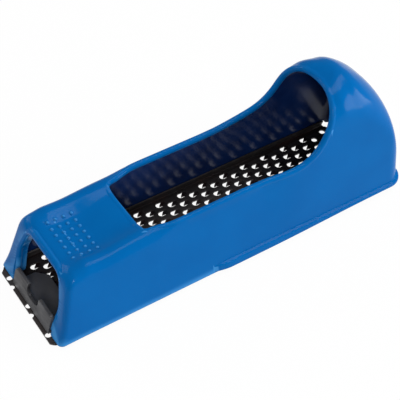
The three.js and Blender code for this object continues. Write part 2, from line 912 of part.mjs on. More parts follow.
const paint = new THREE.MeshStandardMaterial({ color: 0x035fa8, roughness: 0.25, metalness: 0.1 });
const blackSteel = new THREE.MeshStandardMaterial({ color: 0x141417, roughness: 0.4, metalness: 0.6 });
const greySteel = new THREE.MeshStandardMaterial({ color: 0x46464a, roughness: 0.5, metalness: 0.6 });
const zincSteel = new THREE.MeshStandardMaterial({ color: 0xa8aaad, roughness: 0.35, metalness: 0.9 });

function named(name, solid, material) {
  const mesh = new THREE.Mesh(geometryOf(solid), material);
  mesh.name = name;
  return mesh;
}

const bodyMesh = named('body', bodySolid(), paint);
bodyMesh.position.x = toeX;

const plane = new THREE.Group();
plane.position.set(-middleX, 0, tipDepth);
plane.add(bodyMesh);
plane.add(named('blade', bladeSolid(), blackSteel));
plane.add(named('front_clamp', frontClampSolid(), greySteel));
plane.add(named('rear_hook', rearHookSolid(), greySteel));
plane.add(named('tension_nut', tensionNutSolid(), zincSteel));
plane.add(named('tension_screw', tensionScrewSolid(), zincSteel));
plane.add(named('screw_washer', washerSolid(), zincSteel));

const part = new THREE.Group();
part.add(plane);

export default part;
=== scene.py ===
import math

import bmesh
import bpy
from mathutils import Matrix, Vector
from mathutils.geometry import delaunay_2d_cdt


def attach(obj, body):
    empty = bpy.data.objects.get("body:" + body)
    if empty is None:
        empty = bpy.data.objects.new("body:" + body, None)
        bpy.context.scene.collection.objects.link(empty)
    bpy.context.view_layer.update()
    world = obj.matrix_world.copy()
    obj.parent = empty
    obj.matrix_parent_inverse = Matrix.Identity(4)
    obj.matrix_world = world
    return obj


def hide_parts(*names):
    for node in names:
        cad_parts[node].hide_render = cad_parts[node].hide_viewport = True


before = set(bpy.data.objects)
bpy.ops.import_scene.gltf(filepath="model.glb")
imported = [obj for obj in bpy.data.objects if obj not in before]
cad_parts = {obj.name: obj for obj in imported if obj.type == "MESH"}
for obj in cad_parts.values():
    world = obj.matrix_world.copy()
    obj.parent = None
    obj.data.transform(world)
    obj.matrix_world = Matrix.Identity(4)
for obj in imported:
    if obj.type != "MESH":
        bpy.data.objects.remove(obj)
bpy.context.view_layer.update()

# Forms are worked out in millimetres and turned into metres where a mesh is made
MM = 0.001

# The blade
BLADE_LENGTH = 140
BLADE_WIDTH = 40
BLADE_THICKNESS = 0.6
BLADE_CORNER_CUT = 2.2
RAIL_HEIGHT = 2.2
RAIL_THICKNESS = 0.8
RAIL_BEND = 1.4
RAIL_LIP = 0.2
RAIL_FRONT_INSET = 6.2
RAIL_REAR_INSET = 0.6
RAIL_TRAVEL = 2.4
HOLE_RADIUS = 1.3
HOLE_NOTCH = 0.25
TONGUE_TIP = 0.15
PLAIN_HOLE_RADIUS = 1.15
HOLE_STEP_ALONG = 3.99
HOLE_STEP_ACROSS = 2.05
HOLE_SKEW_SHARE = 1 / 3
FIRST_HOLE_INSET = 1.25
PATTERN_SIDE_MARGIN = 2.9
PATTERN_REAR_MARGIN = 1.6
PLAIN_FRONT_LENGTH = 6.8
PLAIN_REAR_LENGTH = 9.3
TOOTH_HEIGHT = 0.8
TOOTH_TIP_TURN = math.radians(70)
TOOTH_TIP_REACH = 1.1
TOOTH_TOP_DIP = 0.3
TOOTH_EDGE_THICKNESS = 0.15
TOOTH_ROOT_LENGTH = 1.5
TOOTH_DIP_POWER = 0.8

# The body's form. A place near the heel is the body's length less its distance from the heel.
BODY_OVER_BLADE = 3
BODY_LENGTH = BLADE_LENGTH + BODY_OVER_BLADE
BODY_HALF_WIDTH = 21.7
WALL = 1.8
TOE_DRAFT = math.tan(math.radians(10.3))
GRIP_DRAFT = math.tan(math.radians(11.5))
HUMP_DRAFT = math.tan(math.radians(8.6))
BLADE_LEAD = 2.5
BOTTOM_GAP = 0.3
TOE_LEAN = math.tan(math.radians(15.6))
TOE_LEAN_FADE_START = 4
TOE_LEAN_FADE_END = 28
TOE_TOP_ROUND = 3.4
TOE_CORNER_ROUND = 2
TOE_FLARE_OUT = 0.9
TOE_FLARE_WIDE = 0.1
TOE_FLARE_START = 14.6
TOE_FLARE_FULL = 18
TOE_FLARE_HEIGHT = 7
TOE_FLARE_DEPTH = 9
DECK_TOE_HEIGHT = 24
DECK_DISH_AT = 19.5
DECK_DISH_HEIGHT = 23.5
DECK_SHOULDER = 4.2
DECK_EDGE_AT = 9
DECK_EDGE_TOE_LIFT = 0.6
DECK_EDGE_LIFT = 2.2
DECK_EDGE_GRIP_LIFT = 1.6
DECK_FLAT_HALF_WIDTH = 11.4
DECK_EDGE_LAND = 0.7
CROWN_POINT_SHARES = (0.96, 0.93, 0.9, 0.87, 0.84, 0.8, 0.6, 0.4, 0.2, 0.05)
GRIP_START = 37.3
GRIP_START_HEIGHT = 25.4
GRIP_FRONT_HALF_WIDTH = 13.4
GRIP_CORNER_ROUND = 1.5
RIM_FULL_AT = 49.5
RIM_TOP_HEIGHT = 27.7
RIM_BEAD_RADIUS = 1.2
RIM_BEAD_PROUD = 0.15
FRONT_BEAD_INSET = 0.9
RIM_SHOULDER = 1.6
RIM_LEVEL_END = BODY_LENGTH - 53
HOOD_PULL = 15
HOOD_CORNER_AT = BODY_LENGTH - 30.4
HOOD_CORNER_SHARE = 0.72
HOOD_SLANT_ALONG = 4.8
HOOD_SLANT_UP = 11
HOOD_BROW_AT = BODY_LENGTH - 27.8
HOOD_SHOULDER = 11
HUMP_RISE_START = BODY_LENGTH - 63
HUMP_DRAFT_AT = BODY_LENGTH - 45
HUMP_TOP_AT = BODY_LENGTH - 20.5
HUMP_HEIGHT = 50.1
HUMP_SHOULDER = 16
HUMP_CLIMB_POWER = 1.5
HUMP_FALL_POWER = 1.15
HUMP_FALL_ROUND_POWER = 0.32
HEEL_FOOT_HEIGHT = 5
HEEL_ROUND = 6.2
HEEL_RISE_END = BODY_LENGTH - 9
HEEL_RISE = 0.95
SHOULDER_ROOM_SHARE = 0.95
SHOULDER_HEIGHT_SHARE = 0.8
MOUTH_TOP_HEIGHT = 21.8
MOUTH_TOP_HALF_WIDTH = 10.3
MOUTH_WAIST_HEIGHT = 11.5
MOUTH_WAIST_HALF_WIDTH = 14.4
MOUTH_BOTTOM_HALF_WIDTH = 12.2
MOUTH_CORNER_ROUND = 2.5
MOUTH_LIP_THICKNESS = 1.5
MOUTH_LIP_DEPTH = 4
MOUTH_ROLL_RADIUS = 1.2
SKIRT_START = BODY_LENGTH - 83.5
SKIRT_EASE = 7
SKIRT_OUT = 1.2
SKIRT_HEIGHT = 2.8
SKIRT_HEEL_HEIGHT = 1.1
SKIRT_LIFT = 0.2
SKIRT_LEDGE_SHARE = 0.3
SKIRT_EDGE_SHARE = 0.3
PIP_COLUMNS = 4
PIP_ROWS = 7
PIP_PITCH_ALONG = 2.94
PIP_PITCH_ACROSS = 3.01
PIP_FIRST_AT = 13
PIP_RADIUS = 0.65
PIP_HEIGHT = 0.5

# The front clamp, the rear hook, the nut, the screw and its washer
CLAMP_THICKNESS = 1.2
CLAMP_HALF_WIDTH = 12.9
CLAMP_SIDESTEP = 1.5
CLAMP_FOOT_HALF_WIDTH = 12.3
CLAMP_FOOT_END = 10.4
CLAMP_FOOT_CORNER_CUT = 3.5
CLAMP_EAR_HEIGHT = 7.4
CLAMP_EAR_ROUND = 1.6
CLAMP_NOTCH_HALF_WIDTH = 3.9
CLAMP_NOTCH_BOTTOM = 3.8
CLAMP_NOTCH_ROUND = 2.4
CLAMP_BEND = 0.6
PEG_RADIUS = 0.6
PEG_REACH = 0.5
PEG_TIP_SHARE = 1 / 3
PEG_SPREAD = 7.2
CLAMP_PEG_INSET = 3.4
HOOK_THICKNESS = 1.5
HOOK_FOOT_HALF_WIDTH = 9
HOOK_UPRIGHT_HALF_WIDTH = 5.5
HOOK_UPRIGHT_OVER = 4.4
HOOK_REAR_MARGIN = 3.6
HOOK_FOOT_LENGTH = 9
HOOK_CORNER_CUT = 2
HOOK_TOP_ROUND = 2.4
HOOK_PEG_INSET = 8
SCREW_HEIGHT = 9.5
SCREW_RADIUS = 2.5
SCREW_ROOT_RADIUS = 2.1
SCREW_PITCH = 0.8
SCREW_TIP_LENGTH = 3.5
SCREW_TIP_CHAMFER = 0.6
SCREW_HEAD_RADIUS = 4.2
SCREW_HEAD_THICKNESS = 2.4
SCREW_HEAD_ROUND = 1
SCREW_SLOT_WIDTH = 1.2
SCREW_SLOT_DEPTH = 1.3
WASHER_RADIUS = 4.6
WASHER_THICKNESS = 1
NUT_SIDE = 8
NUT_THICKNESS = 4
BOSS_RADIUS = 6.4
BOSS_LENGTH = 7
SEAT_AT = BODY_LENGTH - 3.8
COUNTERBORE_RADIUS = 5
EDGE_ROUND = 0.18
EDGE_SEGMENTS = 3

# Fits and fineness
CLEARANCE = 0.3
OVERRUN = 6
TINY = CLEARANCE * MM
QUARTER_TURN = math.pi / 2
SIDE_STEPS = 12
ROUND_STEPS = 16
STATION_STEP = 0.9
RIM_STEP = 0.7
RIM_PASSES = 4
RIM_CORNER_PASSES = 4
CORNER_STEPS = 8
BEAD_SIDES = 24
ROD_SIDES = 64
PIP_SIDES = 16
PIP_LEVELS = 4
SMOOTH_REACH = 3.2
SMOOTH_REACH_SHARE = 0.3
SMOOTH_SAMPLES = 8
SHARP_ANGLE = math.radians(32)

# Places that follow
BLADE_FRONT_X = -BLADE_LENGTH / 2
BLADE_REAR_X = BLADE_LENGTH / 2
RAIL_FRONT_X = BLADE_FRONT_X + RAIL_FRONT_INSET
RAIL_REAR_X = BLADE_REAR_X - RAIL_REAR_INSET
TOE_X = BLADE_FRONT_X + BLADE_LEAD
HEEL_X = TOE_X + BODY_LENGTH + SKIRT_OUT
MIDDLE_X = (BLADE_FRONT_X + HEEL_X) / 2
TIP_DEPTH = BLADE_THICKNESS + TOOTH_HEIGHT
RIM_LINE_HEIGHT = RIM_TOP_HEIGHT - RIM_BEAD_RADIUS
BEAD_INSET = RIM_BEAD_RADIUS - RIM_BEAD_PROUD
HOOD_CORNER_HEIGHT = RIM_LINE_HEIGHT + (HUMP_HEIGHT - RIM_LINE_HEIGHT) * HOOD_CORNER_SHARE
HOOK_REAR_X = BLADE_REAR_X - HOOK_REAR_MARGIN
NUT_REAR_X = HOOK_REAR_X - HOOK_THICKNESS - CLEARANCE
NUT_FRONT_X = NUT_REAR_X - NUT_THICKNESS
WASHER_FRONT_X = TOE_X + SEAT_AT + CLEARANCE
HEAD_FRONT_X = WASHER_FRONT_X + WASHER_THICKNESS + CLEARANCE
BORE_RADIUS = SCREW_RADIUS + CLEARANCE
MOUTH_FOOT = CLAMP_THICKNESS + CLEARANCE * 2 + BOTTOM_GAP
CLAMP_HIGH = CLEARANCE + CLAMP_THICKNESS
CLAMP_FOOT_END_X = TOE_X + CLAMP_FOOT_END
CLAMP_CUT_ENDS = (TOE_X - OVERRUN, TOE_X + OVERRUN)

# Where a form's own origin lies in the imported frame
BODY_ORIGIN = Vector((TOE_X - MIDDLE_X, 0, TIP_DEPTH))
PLANE_ORIGIN = Vector((-MIDDLE_X, 0, TIP_DEPTH))

# The body's two finishes, which each of its cutters leaves on the faces that it makes: the blue paint
# outside, and inside a darker copy of it as painted shade. Only its forms are given one, and their places are
# distances behind the toe.
OUTSIDE, INSIDE = 0, 1
BODY_MATERIALS = []


def lerp(low, high, share):
    return low + (high - low) * share


def even_share(place, start, end):
    return (place - start) / (end - start)


def smooth(place, start, end):
    share = min(max(even_share(place, start, end), 0), 1)
    return share * share * (3 - 2 * share)


# The value at a place along (place, value) pairs, between which it changes in smooth steps or evenly
def along(pairs, place, share_at=smooth):
    for (from_place, from_value), (to_place, to_value) in zip(pairs, pairs[1:]):
        if place <= to_place:
            return lerp(from_value, to_value, share_at(place, from_place, to_place))
    return pairs[-1][1]


# How far a quarter round of this radius has drawn in at a distance from its end
def rounded_drop(radius, distance):
    left = min(max(radius - distance, 0), radius)
    return radius - math.sqrt(radius * radius - left * left)


# Even steps from one value to another, with both ends
def spaced(start, end, count):
    return [lerp(start, end, k / count) for k in range(count + 1)]


def steps(start, end, count):
    return spaced(start, end, count)[1:]


def fine_steps(start, end):
    return steps(start, end, math.ceil((end - start) / STATION_STEP))


# Even turns once round
def turns_round(sides):
    return [i / sides * math.tau for i in range(sides)]


# Even points from one flat point towards another, which is left out
def points_towards(start, end, count):
    return list(zip(spaced(start[0], end[0], count), spaced(start[1], end[1], count)))[:-1]


# The other half of a flat outline that is the same on both sides: of (y, z) points, and of (x, y) points
def mirrored(right):
    return [(-y, z) for y, z in reversed(right)]


def flipped(points):
    return [(x, -y) for x, y in reversed(points)]


# Rounds each inner corner of a flat line of points with a curve that starts this far from it
def softened(points, reach):
    result = [Vector(points[0])]
    for before, corner, after in zip(points, points[1:], points[2:]):
        middle = Vector(corner)
        start = middle + (Vector(before) - middle).normalized() * reach
        end = middle + (Vector(after) - middle).normalized() * reach
        for share in spaced(0, 1, CORNER_STEPS):
            result.append(start.lerp(middle, share).lerp(middle.lerp(end, share), share))
    result.append(Vector(points[-1]))
    return result


# Meshes

def add_object(name, data):
    made = bpy.data.objects.new(name, data)
    bpy.context.scene.collection.objects.link(made)
    return made


def new_object(name, points, faces, slot=None):
    mesh = bpy.data.meshes.new(name)
    origin = PLANE_ORIGIN if slot is None else BODY_ORIGIN
    mesh.from_pydata([(point + origin) * MM for point in points], [], faces)
    work = bmesh.new()
    work.from_mesh(mesh)
    bmesh.ops.recalc_face_normals(work, faces=work.faces)
    work.to_mesh(mesh)
    work.free()
    if slot is not None:
        for material in BODY_MATERIALS:
            mesh.materials.append(material)
        for polygon in mesh.polygons:
            polygon.material_index = slot
    return add_object(name, mesh)


def drop(made):
    mesh = made.data
    bpy.data.objects.remove(made)
    bpy.data.meshes.remove(mesh)


# Several objects as one, which takes their place
def joined(name, parts):
    work = bmesh.new()
    mesh = bpy.data.meshes.new(name)
    for material in parts[0].data.materials:
        mesh.materials.append(material)
    for part in parts:
        work.from_mesh(part.data)
        drop(part)
    work.to_mesh(mesh)
    work.free()
    return add_object(name, mesh)


# A form through rings that have the same number of points each, closed by caps or by running in a loop
def loft(name, rings, slot=None, in_loop=False):
    count = len(rings[0])
    points = [point for ring in rings for point in ring]
    total = len(points)
    faces = []
    for near in range(0, total if in_loop else total - count, count):
        far = (near + count) % total
        faces += [(near + i, near + (i + 1) % count, far + (i + 1) % count, far + i) for i in range(count)]
    for first in () if in_loop else (0, total - count):
        hub = len(points)
        points.append(sum(points[first:first + count], Vector((0, 0, 0))) / count)
        faces += [(hub, first + i, first + (i + 1) % count) for i in range(count)]
    return new_object(name, points, faces, slot)


# A closed ring of tube through points that run in a loop
def loop_tube(name, path, radius, slot):
    rings = []
    level = Vector((0, 1, 0))
    for k, point in enumerate(path):
        ahead = (path[(k + 1) % len(path)] - path[k - 1]).normalized()
        level = (level - ahead * level.dot(ahead)).normalized()
        rise = ahead.cross(level)
        rings.append([
            point + (level * math.cos(turn) + rise * math.sin(turn)) * radius
            for turn in turns_round(BEAD_SIDES)
        ])
    return loft(name, rings, slot, in_loop=True)


# A front-view outline (y, z) made from one end to the other along the plane
def front_extrusion(name, outline, ends, slot=None):
    return loft(name, [[Vector((x, y, z)) for y, z in outline] for x in ends], slot)


def block(name, low, high, slot=None):
    outline = [(low[1], low[2]), (high[1], low[2]), (high[1], high[2]), (low[1], high[2])]
    return front_extrusion(name, outline, (low[0], high[0]), slot)


def round_axis(x, radius, turn):
    return Vector((x, radius * math.cos(turn), SCREW_HEIGHT + radius * math.sin(turn)))


# A turned form round the screw's axis, through (x, radius) pairs
def turned(name, profile, slot=None):
    rings = [[round_axis(x, radius, turn) for turn in turns_round(ROD_SIDES)] for x, radius in profile]
    return loft(name, rings, slot)


# A level ring of points round an upright axis
def level_ring(x, y, z, radius):
    return [
        Vector((x + radius * math.cos(turn), y + radius * math.sin(turn), z))
        for turn in turns_round(PIP_SIDES)
    ]


# A side-view outline (x, z) made as wide as asked, centred on the centre line
def side_extrusion(name, outline, half_width, slot=None):
    return prism(name, [Vector((x, 0, z)) for x, z in outline], Vector((0, half_width, 0)), slot)


# A plan outline (x, y) made from one height to another
def plan_extrusion(name, outline, low, high, slot=None):
    middle = [Vector((x, y, (low + high) / 2)) for x, y in outline]
    return prism(name, middle, Vector((0, 0, (high - low) / 2)), slot)


def prism(name, outline, half, slot):
    count = len(outline)
    points = [point - half for point in outline] + [point + half for point in outline]
    faces = [tuple(range(count)), tuple(range(count, count * 2))]
    faces += [(i, (i + 1) % count, (i + 1) % count + count, i + count) for i in range(count)]
    return new_object(name, points, faces, slot)


# Puts the changes that an object still carries into its mesh
def settle(made):
    graph = bpy.context.evaluated_depsgraph_get()
    settled = bpy.data.meshes.new_from_object(made.evaluated_get(graph))
    made.modifiers.clear()
    old = made.data
    made.data = settled
    bpy.data.meshes.remove(old)


def combine(target, operation, *tools):
    for tool in tools:
        change = target.modifiers.new("combine", "BOOLEAN")
        change.operation = operation
        change.solver = "MANIFOLD"
        change.object = tool
        settle(target)
        drop(tool)
    return target


# Small rounds on the edges of a plain metal piece
def round_edges(made, width):
    change = made.modifiers.new("round", "BEVEL")
    change.width = width * MM
    change.segments = EDGE_SEGMENTS
    change.limit_method = "ANGLE"
    change.angle_limit = SHARP_ANGLE
    change.use_clamp_overlap = True
    settle(made)


# The body's forms bring their materials with them, and the other pieces get theirs here
def finish_piece(made, name, body, material, node):
    made.name = name
    made.data.shade_smooth()
    made.data.set_sharp_from_angle(angle=SHARP_ANGLE)
    if not any(made.data.materials):
        made.data.materials.clear()
        made.data.materials.append(material)
    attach(made, body)
    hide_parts(node)


# The body's form

# The height of the deck and the grip along the middle
CROWN_LINE = [
    (0, DECK_TOE_HEIGHT),
    (DECK_DISH_AT, DECK_DISH_HEIGHT),
    (GRIP_START, GRIP_START_HEIGHT),
    (RIM_FULL_AT, RIM_TOP_HEIGHT),
]

# The round between the crown and the sides
SHOULDER_LINE = [
    (0, DECK_SHOULDER),
    (GRIP_START, DECK_SHOULDER),
    (RIM_FULL_AT, RIM_SHOULDER),
    (HUMP_RISE_START, RIM_SHOULDER),
    (HOOD_BROW_AT, HOOD_SHOULDER),
    (HUMP_TOP_AT, HUMP_SHOULDER),
]

# How far the deck's long edges stand over its middle
EDGE_LIFT_LINE = [
    (0, DECK_EDGE_TOE_LIFT),
    (DECK_EDGE_AT, DECK_EDGE_LIFT),
    (DECK_DISH_AT, DECK_EDGE_LIFT),
    (GRIP_START, DECK_EDGE_GRIP_LIFT),
    (RIM_FULL_AT, 0),
]

# How far the sides lean in for each length that they rise
DRAFT_LINE = [
    (GRIP_START, TOE_DRAFT),
    (RIM_FULL_AT, GRIP_DRAFT),
    (HUMP_RISE_START, GRIP_DRAFT),
    (HUMP_DRAFT_AT, HUMP_DRAFT),
]


def crown_line_height(at):
    if at <= HUMP_RISE_START:
        return along(CROWN_LINE, at) - rounded_drop(TOE_TOP_ROUND, at)
    if at <= HUMP_TOP_AT:
        left_share = (HUMP_TOP_AT - at) / (HUMP_TOP_AT - HUMP_RISE_START)
        return lerp(HUMP_HEIGHT, RIM_TOP_HEIGHT, left_share ** HUMP_CLIMB_POWER)
    share = min((at - HUMP_TOP_AT) / (BODY_LENGTH - HUMP_TOP_AT), 1)
    left_share = max(1 - share ** HUMP_FALL_POWER, 0) ** HUMP_FALL_ROUND_POWER
    return lerp(HEEL_FOOT_HEIGHT, HUMP_HEIGHT, left_share)


# The crown with its changes of slope evened out, so that the gloss runs over them without a break
def crown_height(at):
    reach = min(SMOOTH_REACH, min(at, BODY_LENGTH - at) * SMOOTH_REACH_SHARE)
    total = 0
    weights = 0
    for k in range(-SMOOTH_SAMPLES, SMOOTH_SAMPLES + 1):
        weight = 1 - abs(k) / (SMOOTH_SAMPLES + 1)
        total += weight * crown_line_height(at + reach * k / SMOOTH_SAMPLES)
        weights += weight
    return total / weights


def half_width_at(at):
    return BODY_HALF_WIDTH - rounded_drop(TOE_CORNER_ROUND, at) - rounded_drop(HEEL_ROUND, BODY_LENGTH - at)


def lean_at(at):
    return TOE_LEAN * (1 - smooth(at, TOE_LEAN_FADE_START, TOE_LEAN_FADE_END))


def bottom_at(at):
    return BOTTOM_GAP + HEEL_RISE * smooth(at, HUMP_RISE_START, HEEL_RISE_END)


# The right half of the cross-section at a distance from the toe, from the bottom edge to the crown
def half_section(at, inset, bottom):
    draft = along(DRAFT_LINE, at)
    slope = math.hypot(1, draft)
    half = half_width_at(at) - inset * slope
    top = crown_height(at) - inset
    lift = along(EDGE_LIFT_LINE, at)
    room_up = (top - bottom) * SHOULDER_HEIGHT_SHARE
    up = max(min(along(SHOULDER_LINE, at) - inset, room_up), BOTTOM_GAP)
    centre_z = top + lift - up
    side_y = half - draft * centre_z
    reach = min(up * slope, side_y * SHOULDER_ROOM_SHARE)
    across = math.sqrt(reach * reach - draft * up * draft * up)
    first_turn = math.atan2(draft * up, across)
    shoulder = [
        (side_y - reach + across * math.cos(turn), centre_z + up * math.sin(turn))
        for turn in spaced(first_turn, QUARTER_TURN, ROUND_STEPS)
    ]
    flat_half = shoulder[-1][0]
    rise_start = min(DECK_FLAT_HALF_WIDTH, flat_half / 2)
    rise_end = max(flat_half - DECK_EDGE_LAND, flat_half * CROWN_POINT_SHARES[0])
    crown = []
    for share in CROWN_POINT_SHARES:
        y = flat_half * share
        crown.append((y, top + lift * smooth(y, rise_start, rise_end)))
    return points_towards((half - draft * bottom, bottom), shoulder[0], SIDE_STEPS) + shoulder + crown


# How far the toe wall's foot flares outwards beside the clamp, as a share of the most
def toe_flare_share(at, y, z):
    beside_share = smooth(abs(y), TOE_FLARE_START, TOE_FLARE_FULL)
    low_share = min(max(1 - z / TOE_FLARE_HEIGHT, 0), 1)
    return beside_share * low_share * low_share * (1 - smooth(at, 0, TOE_FLARE_DEPTH))


def ring_at(at, x, inset, bottom):
    right = half_section(at, inset, bottom)
    ring = []
    for y, z in right + mirrored(right):
        flare_share = toe_flare_share(at, y, z)
        ahead = x + lean_at(at) * z - TOE_FLARE_OUT * flare_share
        ring.append(Vector((ahead, y + math.copysign(TOE_FLARE_WIDE, y) * flare_share, z)))
    return ring


def stations():
    toe = [TOE_TOP_ROUND * (1 - math.cos(turn)) for turn in spaced(0, QUARTER_TURN, CORNER_STEPS)]
    heel_run = BODY_LENGTH - HUMP_TOP_AT
    heel = [HUMP_TOP_AT + heel_run * math.sin(turn) for turn in steps(0, QUARTER_TURN, ROUND_STEPS * 2)]
    return toe + fine_steps(TOE_TOP_ROUND, HUMP_TOP_AT) + heel


def outer_form():
    return loft("outer_form", [ring_at(at, at, 0, bottom_at(at)) for at in stations()], OUTSIDE)


def inner_form():
    shrink_share = (BODY_LENGTH - 2 * WALL) / BODY_LENGTH
    rings = [ring_at(at, WALL + at * shrink_share, WALL, -OVERRUN) for at in stations()]
    return loft("inner_form", rings, INSIDE)


def skirt_ring(at, out):
    draft = along(DRAFT_LINE, at)
    half = BODY_HALF_WIDTH - rounded_drop(HEEL_ROUND + SKIRT_OUT, BODY_LENGTH + SKIRT_OUT - at)
    heel_share = smooth(at, HUMP_RISE_START, HEEL_RISE_END)
    low = bottom_at(at) + SKIRT_LIFT
    high = low + lerp(SKIRT_HEIGHT, SKIRT_HEEL_HEIGHT, heel_share) - BOTTOM_GAP
    right = softened([
        (half - WALL / 2 - draft * low, low),
        (half + out - draft * low, low),
        (half + out - draft * high, high),
        (half - WALL / 2 - draft * high, high + (out + WALL / 2) * SKIRT_LEDGE_SHARE),
    ], min(SKIRT_OUT, high - low) * SKIRT_EDGE_SHARE)
    return [Vector((at, y, z)) for y, z in right + mirrored(right)]


def skirt():
    heel_start = BODY_LENGTH - HEEL_ROUND
    rings = [
        skirt_ring(SKIRT_START + SKIRT_EASE * turn / QUARTER_TURN, SKIRT_OUT * math.sin(turn))
        for turn in spaced(0, QUARTER_TURN, CORNER_STEPS)
    ]
    rings += [skirt_ring(at, SKIRT_OUT) for at in fine_steps(HUMP_RISE_START, heel_start)]
    rings += [
        skirt_ring(heel_start + (HEEL_ROUND + SKIRT_OUT) * math.sin(turn), SKIRT_OUT)
        for turn in steps(0, QUARTER_TURN, ROUND_STEPS)
    ]
    return loft("skirt", rings, OUTSIDE)


def half_width_of_form(at, z, inset):
    return along([(height, half) for half, height in half_section(at, inset, 0)], z, even_share)


def height_of_form(at, y, inset):
    section = half_section(at, inset, 0)[::-1]
    return along(section, max(abs(y), section[0][0]), even_share)


def bezier(a, b, c, d, share):
    first = a.lerp(b, share)
    second = b.lerp(c, share)
    third = c.lerp(d, share)
    return first.lerp(second, share).lerp(second.lerp(third, share), share)


# The rim's left half: along the grip, then up the side of the hump's mouth to its corner
def rim_side(front_height):
    level_end = Vector((RIM_LEVEL_END, RIM_LINE_HEIGHT))
    corner = Vector((HOOD_CORNER_AT, HOOD_CORNER_HEIGHT))
    count = ROUND_STEPS * 2
    front = points_towards((GRIP_START, front_height), (RIM_FULL_AT, RIM_LINE_HEIGHT), count)
    level = [(at, RIM_LINE_HEIGHT) for at in [RIM_FULL_AT] + fine_steps(RIM_FULL_AT, RIM_LEVEL_END)]
    pull = level_end + Vector((HOOD_PULL, 0))
    slant = corner - Vector((HOOD_SLANT_ALONG, HOOD_SLANT_UP))
    rise = [tuple(bezier(level_end, pull, slant, corner, share)) for share in steps(0, 1, count)]
    result = []
    for x, z in front + level + rise:
        full_half = half_width_of_form(x, z, BEAD_INSET)
        full_share = math.sqrt(smooth(x, GRIP_START, RIM_FULL_AT))
        result.append(Vector((x, lerp(GRIP_FRONT_HALF_WIDTH, full_half, full_share), z)))
    return result


def rim_path(front_height):
    left = rim_side(front_height)
    corner = left[-1]
    brow = []
    for turn in steps(0, math.pi, ROUND_STEPS * 4):
        share = math.cos(turn)
        x = lerp(HOOD_BROW_AT, corner.x, share * share)
        brow.append(Vector((x, corner.y * share, height_of_form(x, corner.y * share, BEAD_INSET))))
    right = [Vector((point.x, -point.y, point.z)) for point in reversed(left[:-1])]
    return left + brow + right


# The same loop with even steps
def even_loop(path, step):
    closed = path + [path[0]]
    lengths = [0]
    for a, b in zip(closed, closed[1:]):
        lengths.append(lengths[-1] + (b - a).length)
    count = round(lengths[-1] / step)
    result = []
    k = 0
    for i in range(count):
        wanted = lengths[-1] * i / count
        while lengths[k + 1] < wanted:
            k += 1
        share = (wanted - lengths[k]) / max(lengths[k + 1] - lengths[k], TINY)
        result.append(closed[k].lerp(closed[k + 1], share))
    return result


# Evens out the loop's points that lie in front of a place
def eased_loop(path, passes, end_x):
    for _ in range(passes):
        path = [
            (path[i - 1] + point * 2 + path[(i + 1) % len(path)]) / 4 if point.x < end_x else point
            for i, point in enumerate(path)
        ]
    return path


def rim_bead():
    path = rim_path(height_of_form(GRIP_START, GRIP_FRONT_HALF_WIDTH, 0) - BEAD_INSET)
    front = []
    for share in steps(-1, 1, CORNER_STEPS * 2)[:-1]:
        y = path[0].y * share
        z = height_of_form(GRIP_START, y, 0) - RIM_BEAD_RADIUS
        front.append(Vector((GRIP_START - FRONT_BEAD_INSET, y, z)))
    loop = even_loop(path + front, RIM_STEP)
    loop = eased_loop(loop, RIM_CORNER_PASSES, GRIP_START + GRIP_CORNER_ROUND)
    loop = eased_loop(loop, RIM_PASSES, BODY_LENGTH)
    return loop_tube("rim_bead", loop, RIM_BEAD_RADIUS, OUTSIDE)


# The arch of the hump's mouth moved outwards from the rim's line, and along the body
def moved_arch(arch, out, ahead):
    result = []
    for point in arch:
        radial = Vector((0, point.y, point.z - RIM_LINE_HEIGHT)).normalized() * out
        result.append(Vector((point.x + ahead, point.y + radial.y, point.z + radial.z)))
    return result


def hump_mouth_cutter():
    arch = [point for point in rim_path(RIM_LINE_HEIGHT) if point.x >= RIM_LEVEL_END]
    far = moved_arch(arch, OVERRUN * 2, -CLEARANCE)
    front = [Vector((HUMP_RISE_START, point.y, point.z)) for point in far]
    rings = [front, far, arch, moved_arch(arch, -WALL * 2, CLEARANCE)]
    return loft("hump_mouth_cutter", rings, INSIDE)


def grip_cutters():
    half = half_width_of_form(RIM_FULL_AT, RIM_LINE_HEIGHT, BEAD_INSET) - RIM_BEAD_RADIUS / 2
    top = HUMP_HEIGHT + OVERRUN
    side = [(RIM_LEVEL_END, -half), (RIM_FULL_AT, -half), (GRIP_START, -GRIP_FRONT_HALF_WIDTH)]
    skin = softened(side + flipped(side), GRIP_CORNER_ROUND)
    above = [
        (GRIP_START, GRIP_START_HEIGHT + DECK_EDGE_GRIP_LIFT + CLEARANCE),
        (RIM_FULL_AT, RIM_LINE_HEIGHT),
        (RIM_LEVEL_END, RIM_LINE_HEIGHT),
        (RIM_LEVEL_END, top),
        (GRIP_START, top),
    ]
    return [
        plan_extrusion("grip_skin", skin, GRIP_START_HEIGHT - DECK_SHOULDER, top, INSIDE),
        side_extrusion("grip_above", above, BODY_HALF_WIDTH + OVERRUN, OUTSIDE),
        hump_mouth_cutter(),
    ]


# The toe mouth's outline grown outwards, from its right foot over its top to its left foot
def mouth_line(grow, low):
    right = softened([
        (MOUTH_BOTTOM_HALF_WIDTH + grow, low),
        (MOUTH_WAIST_HALF_WIDTH + grow, MOUTH_WAIST_HEIGHT),
        (MOUTH_TOP_HALF_WIDTH + grow, MOUTH_TOP_HEIGHT + grow),
        (0, MOUTH_TOP_HEIGHT + grow),
    ], MOUTH_CORNER_ROUND + grow)
    return right + [Vector(point) for point in mirrored(right[:-1])]


# A slab of the toe mouth's outline grown outwards, leaning like the toe wall
def mouth_slab(name, grow, from_depth, to_depth, low, slot=OUTSIDE):
    line = mouth_line(grow, low)
    rings = [[Vector((depth + TOE_LEAN * z, y, z)) for y, z in line] for depth in (from_depth, to_depth)]
    return loft(name, rings, slot)


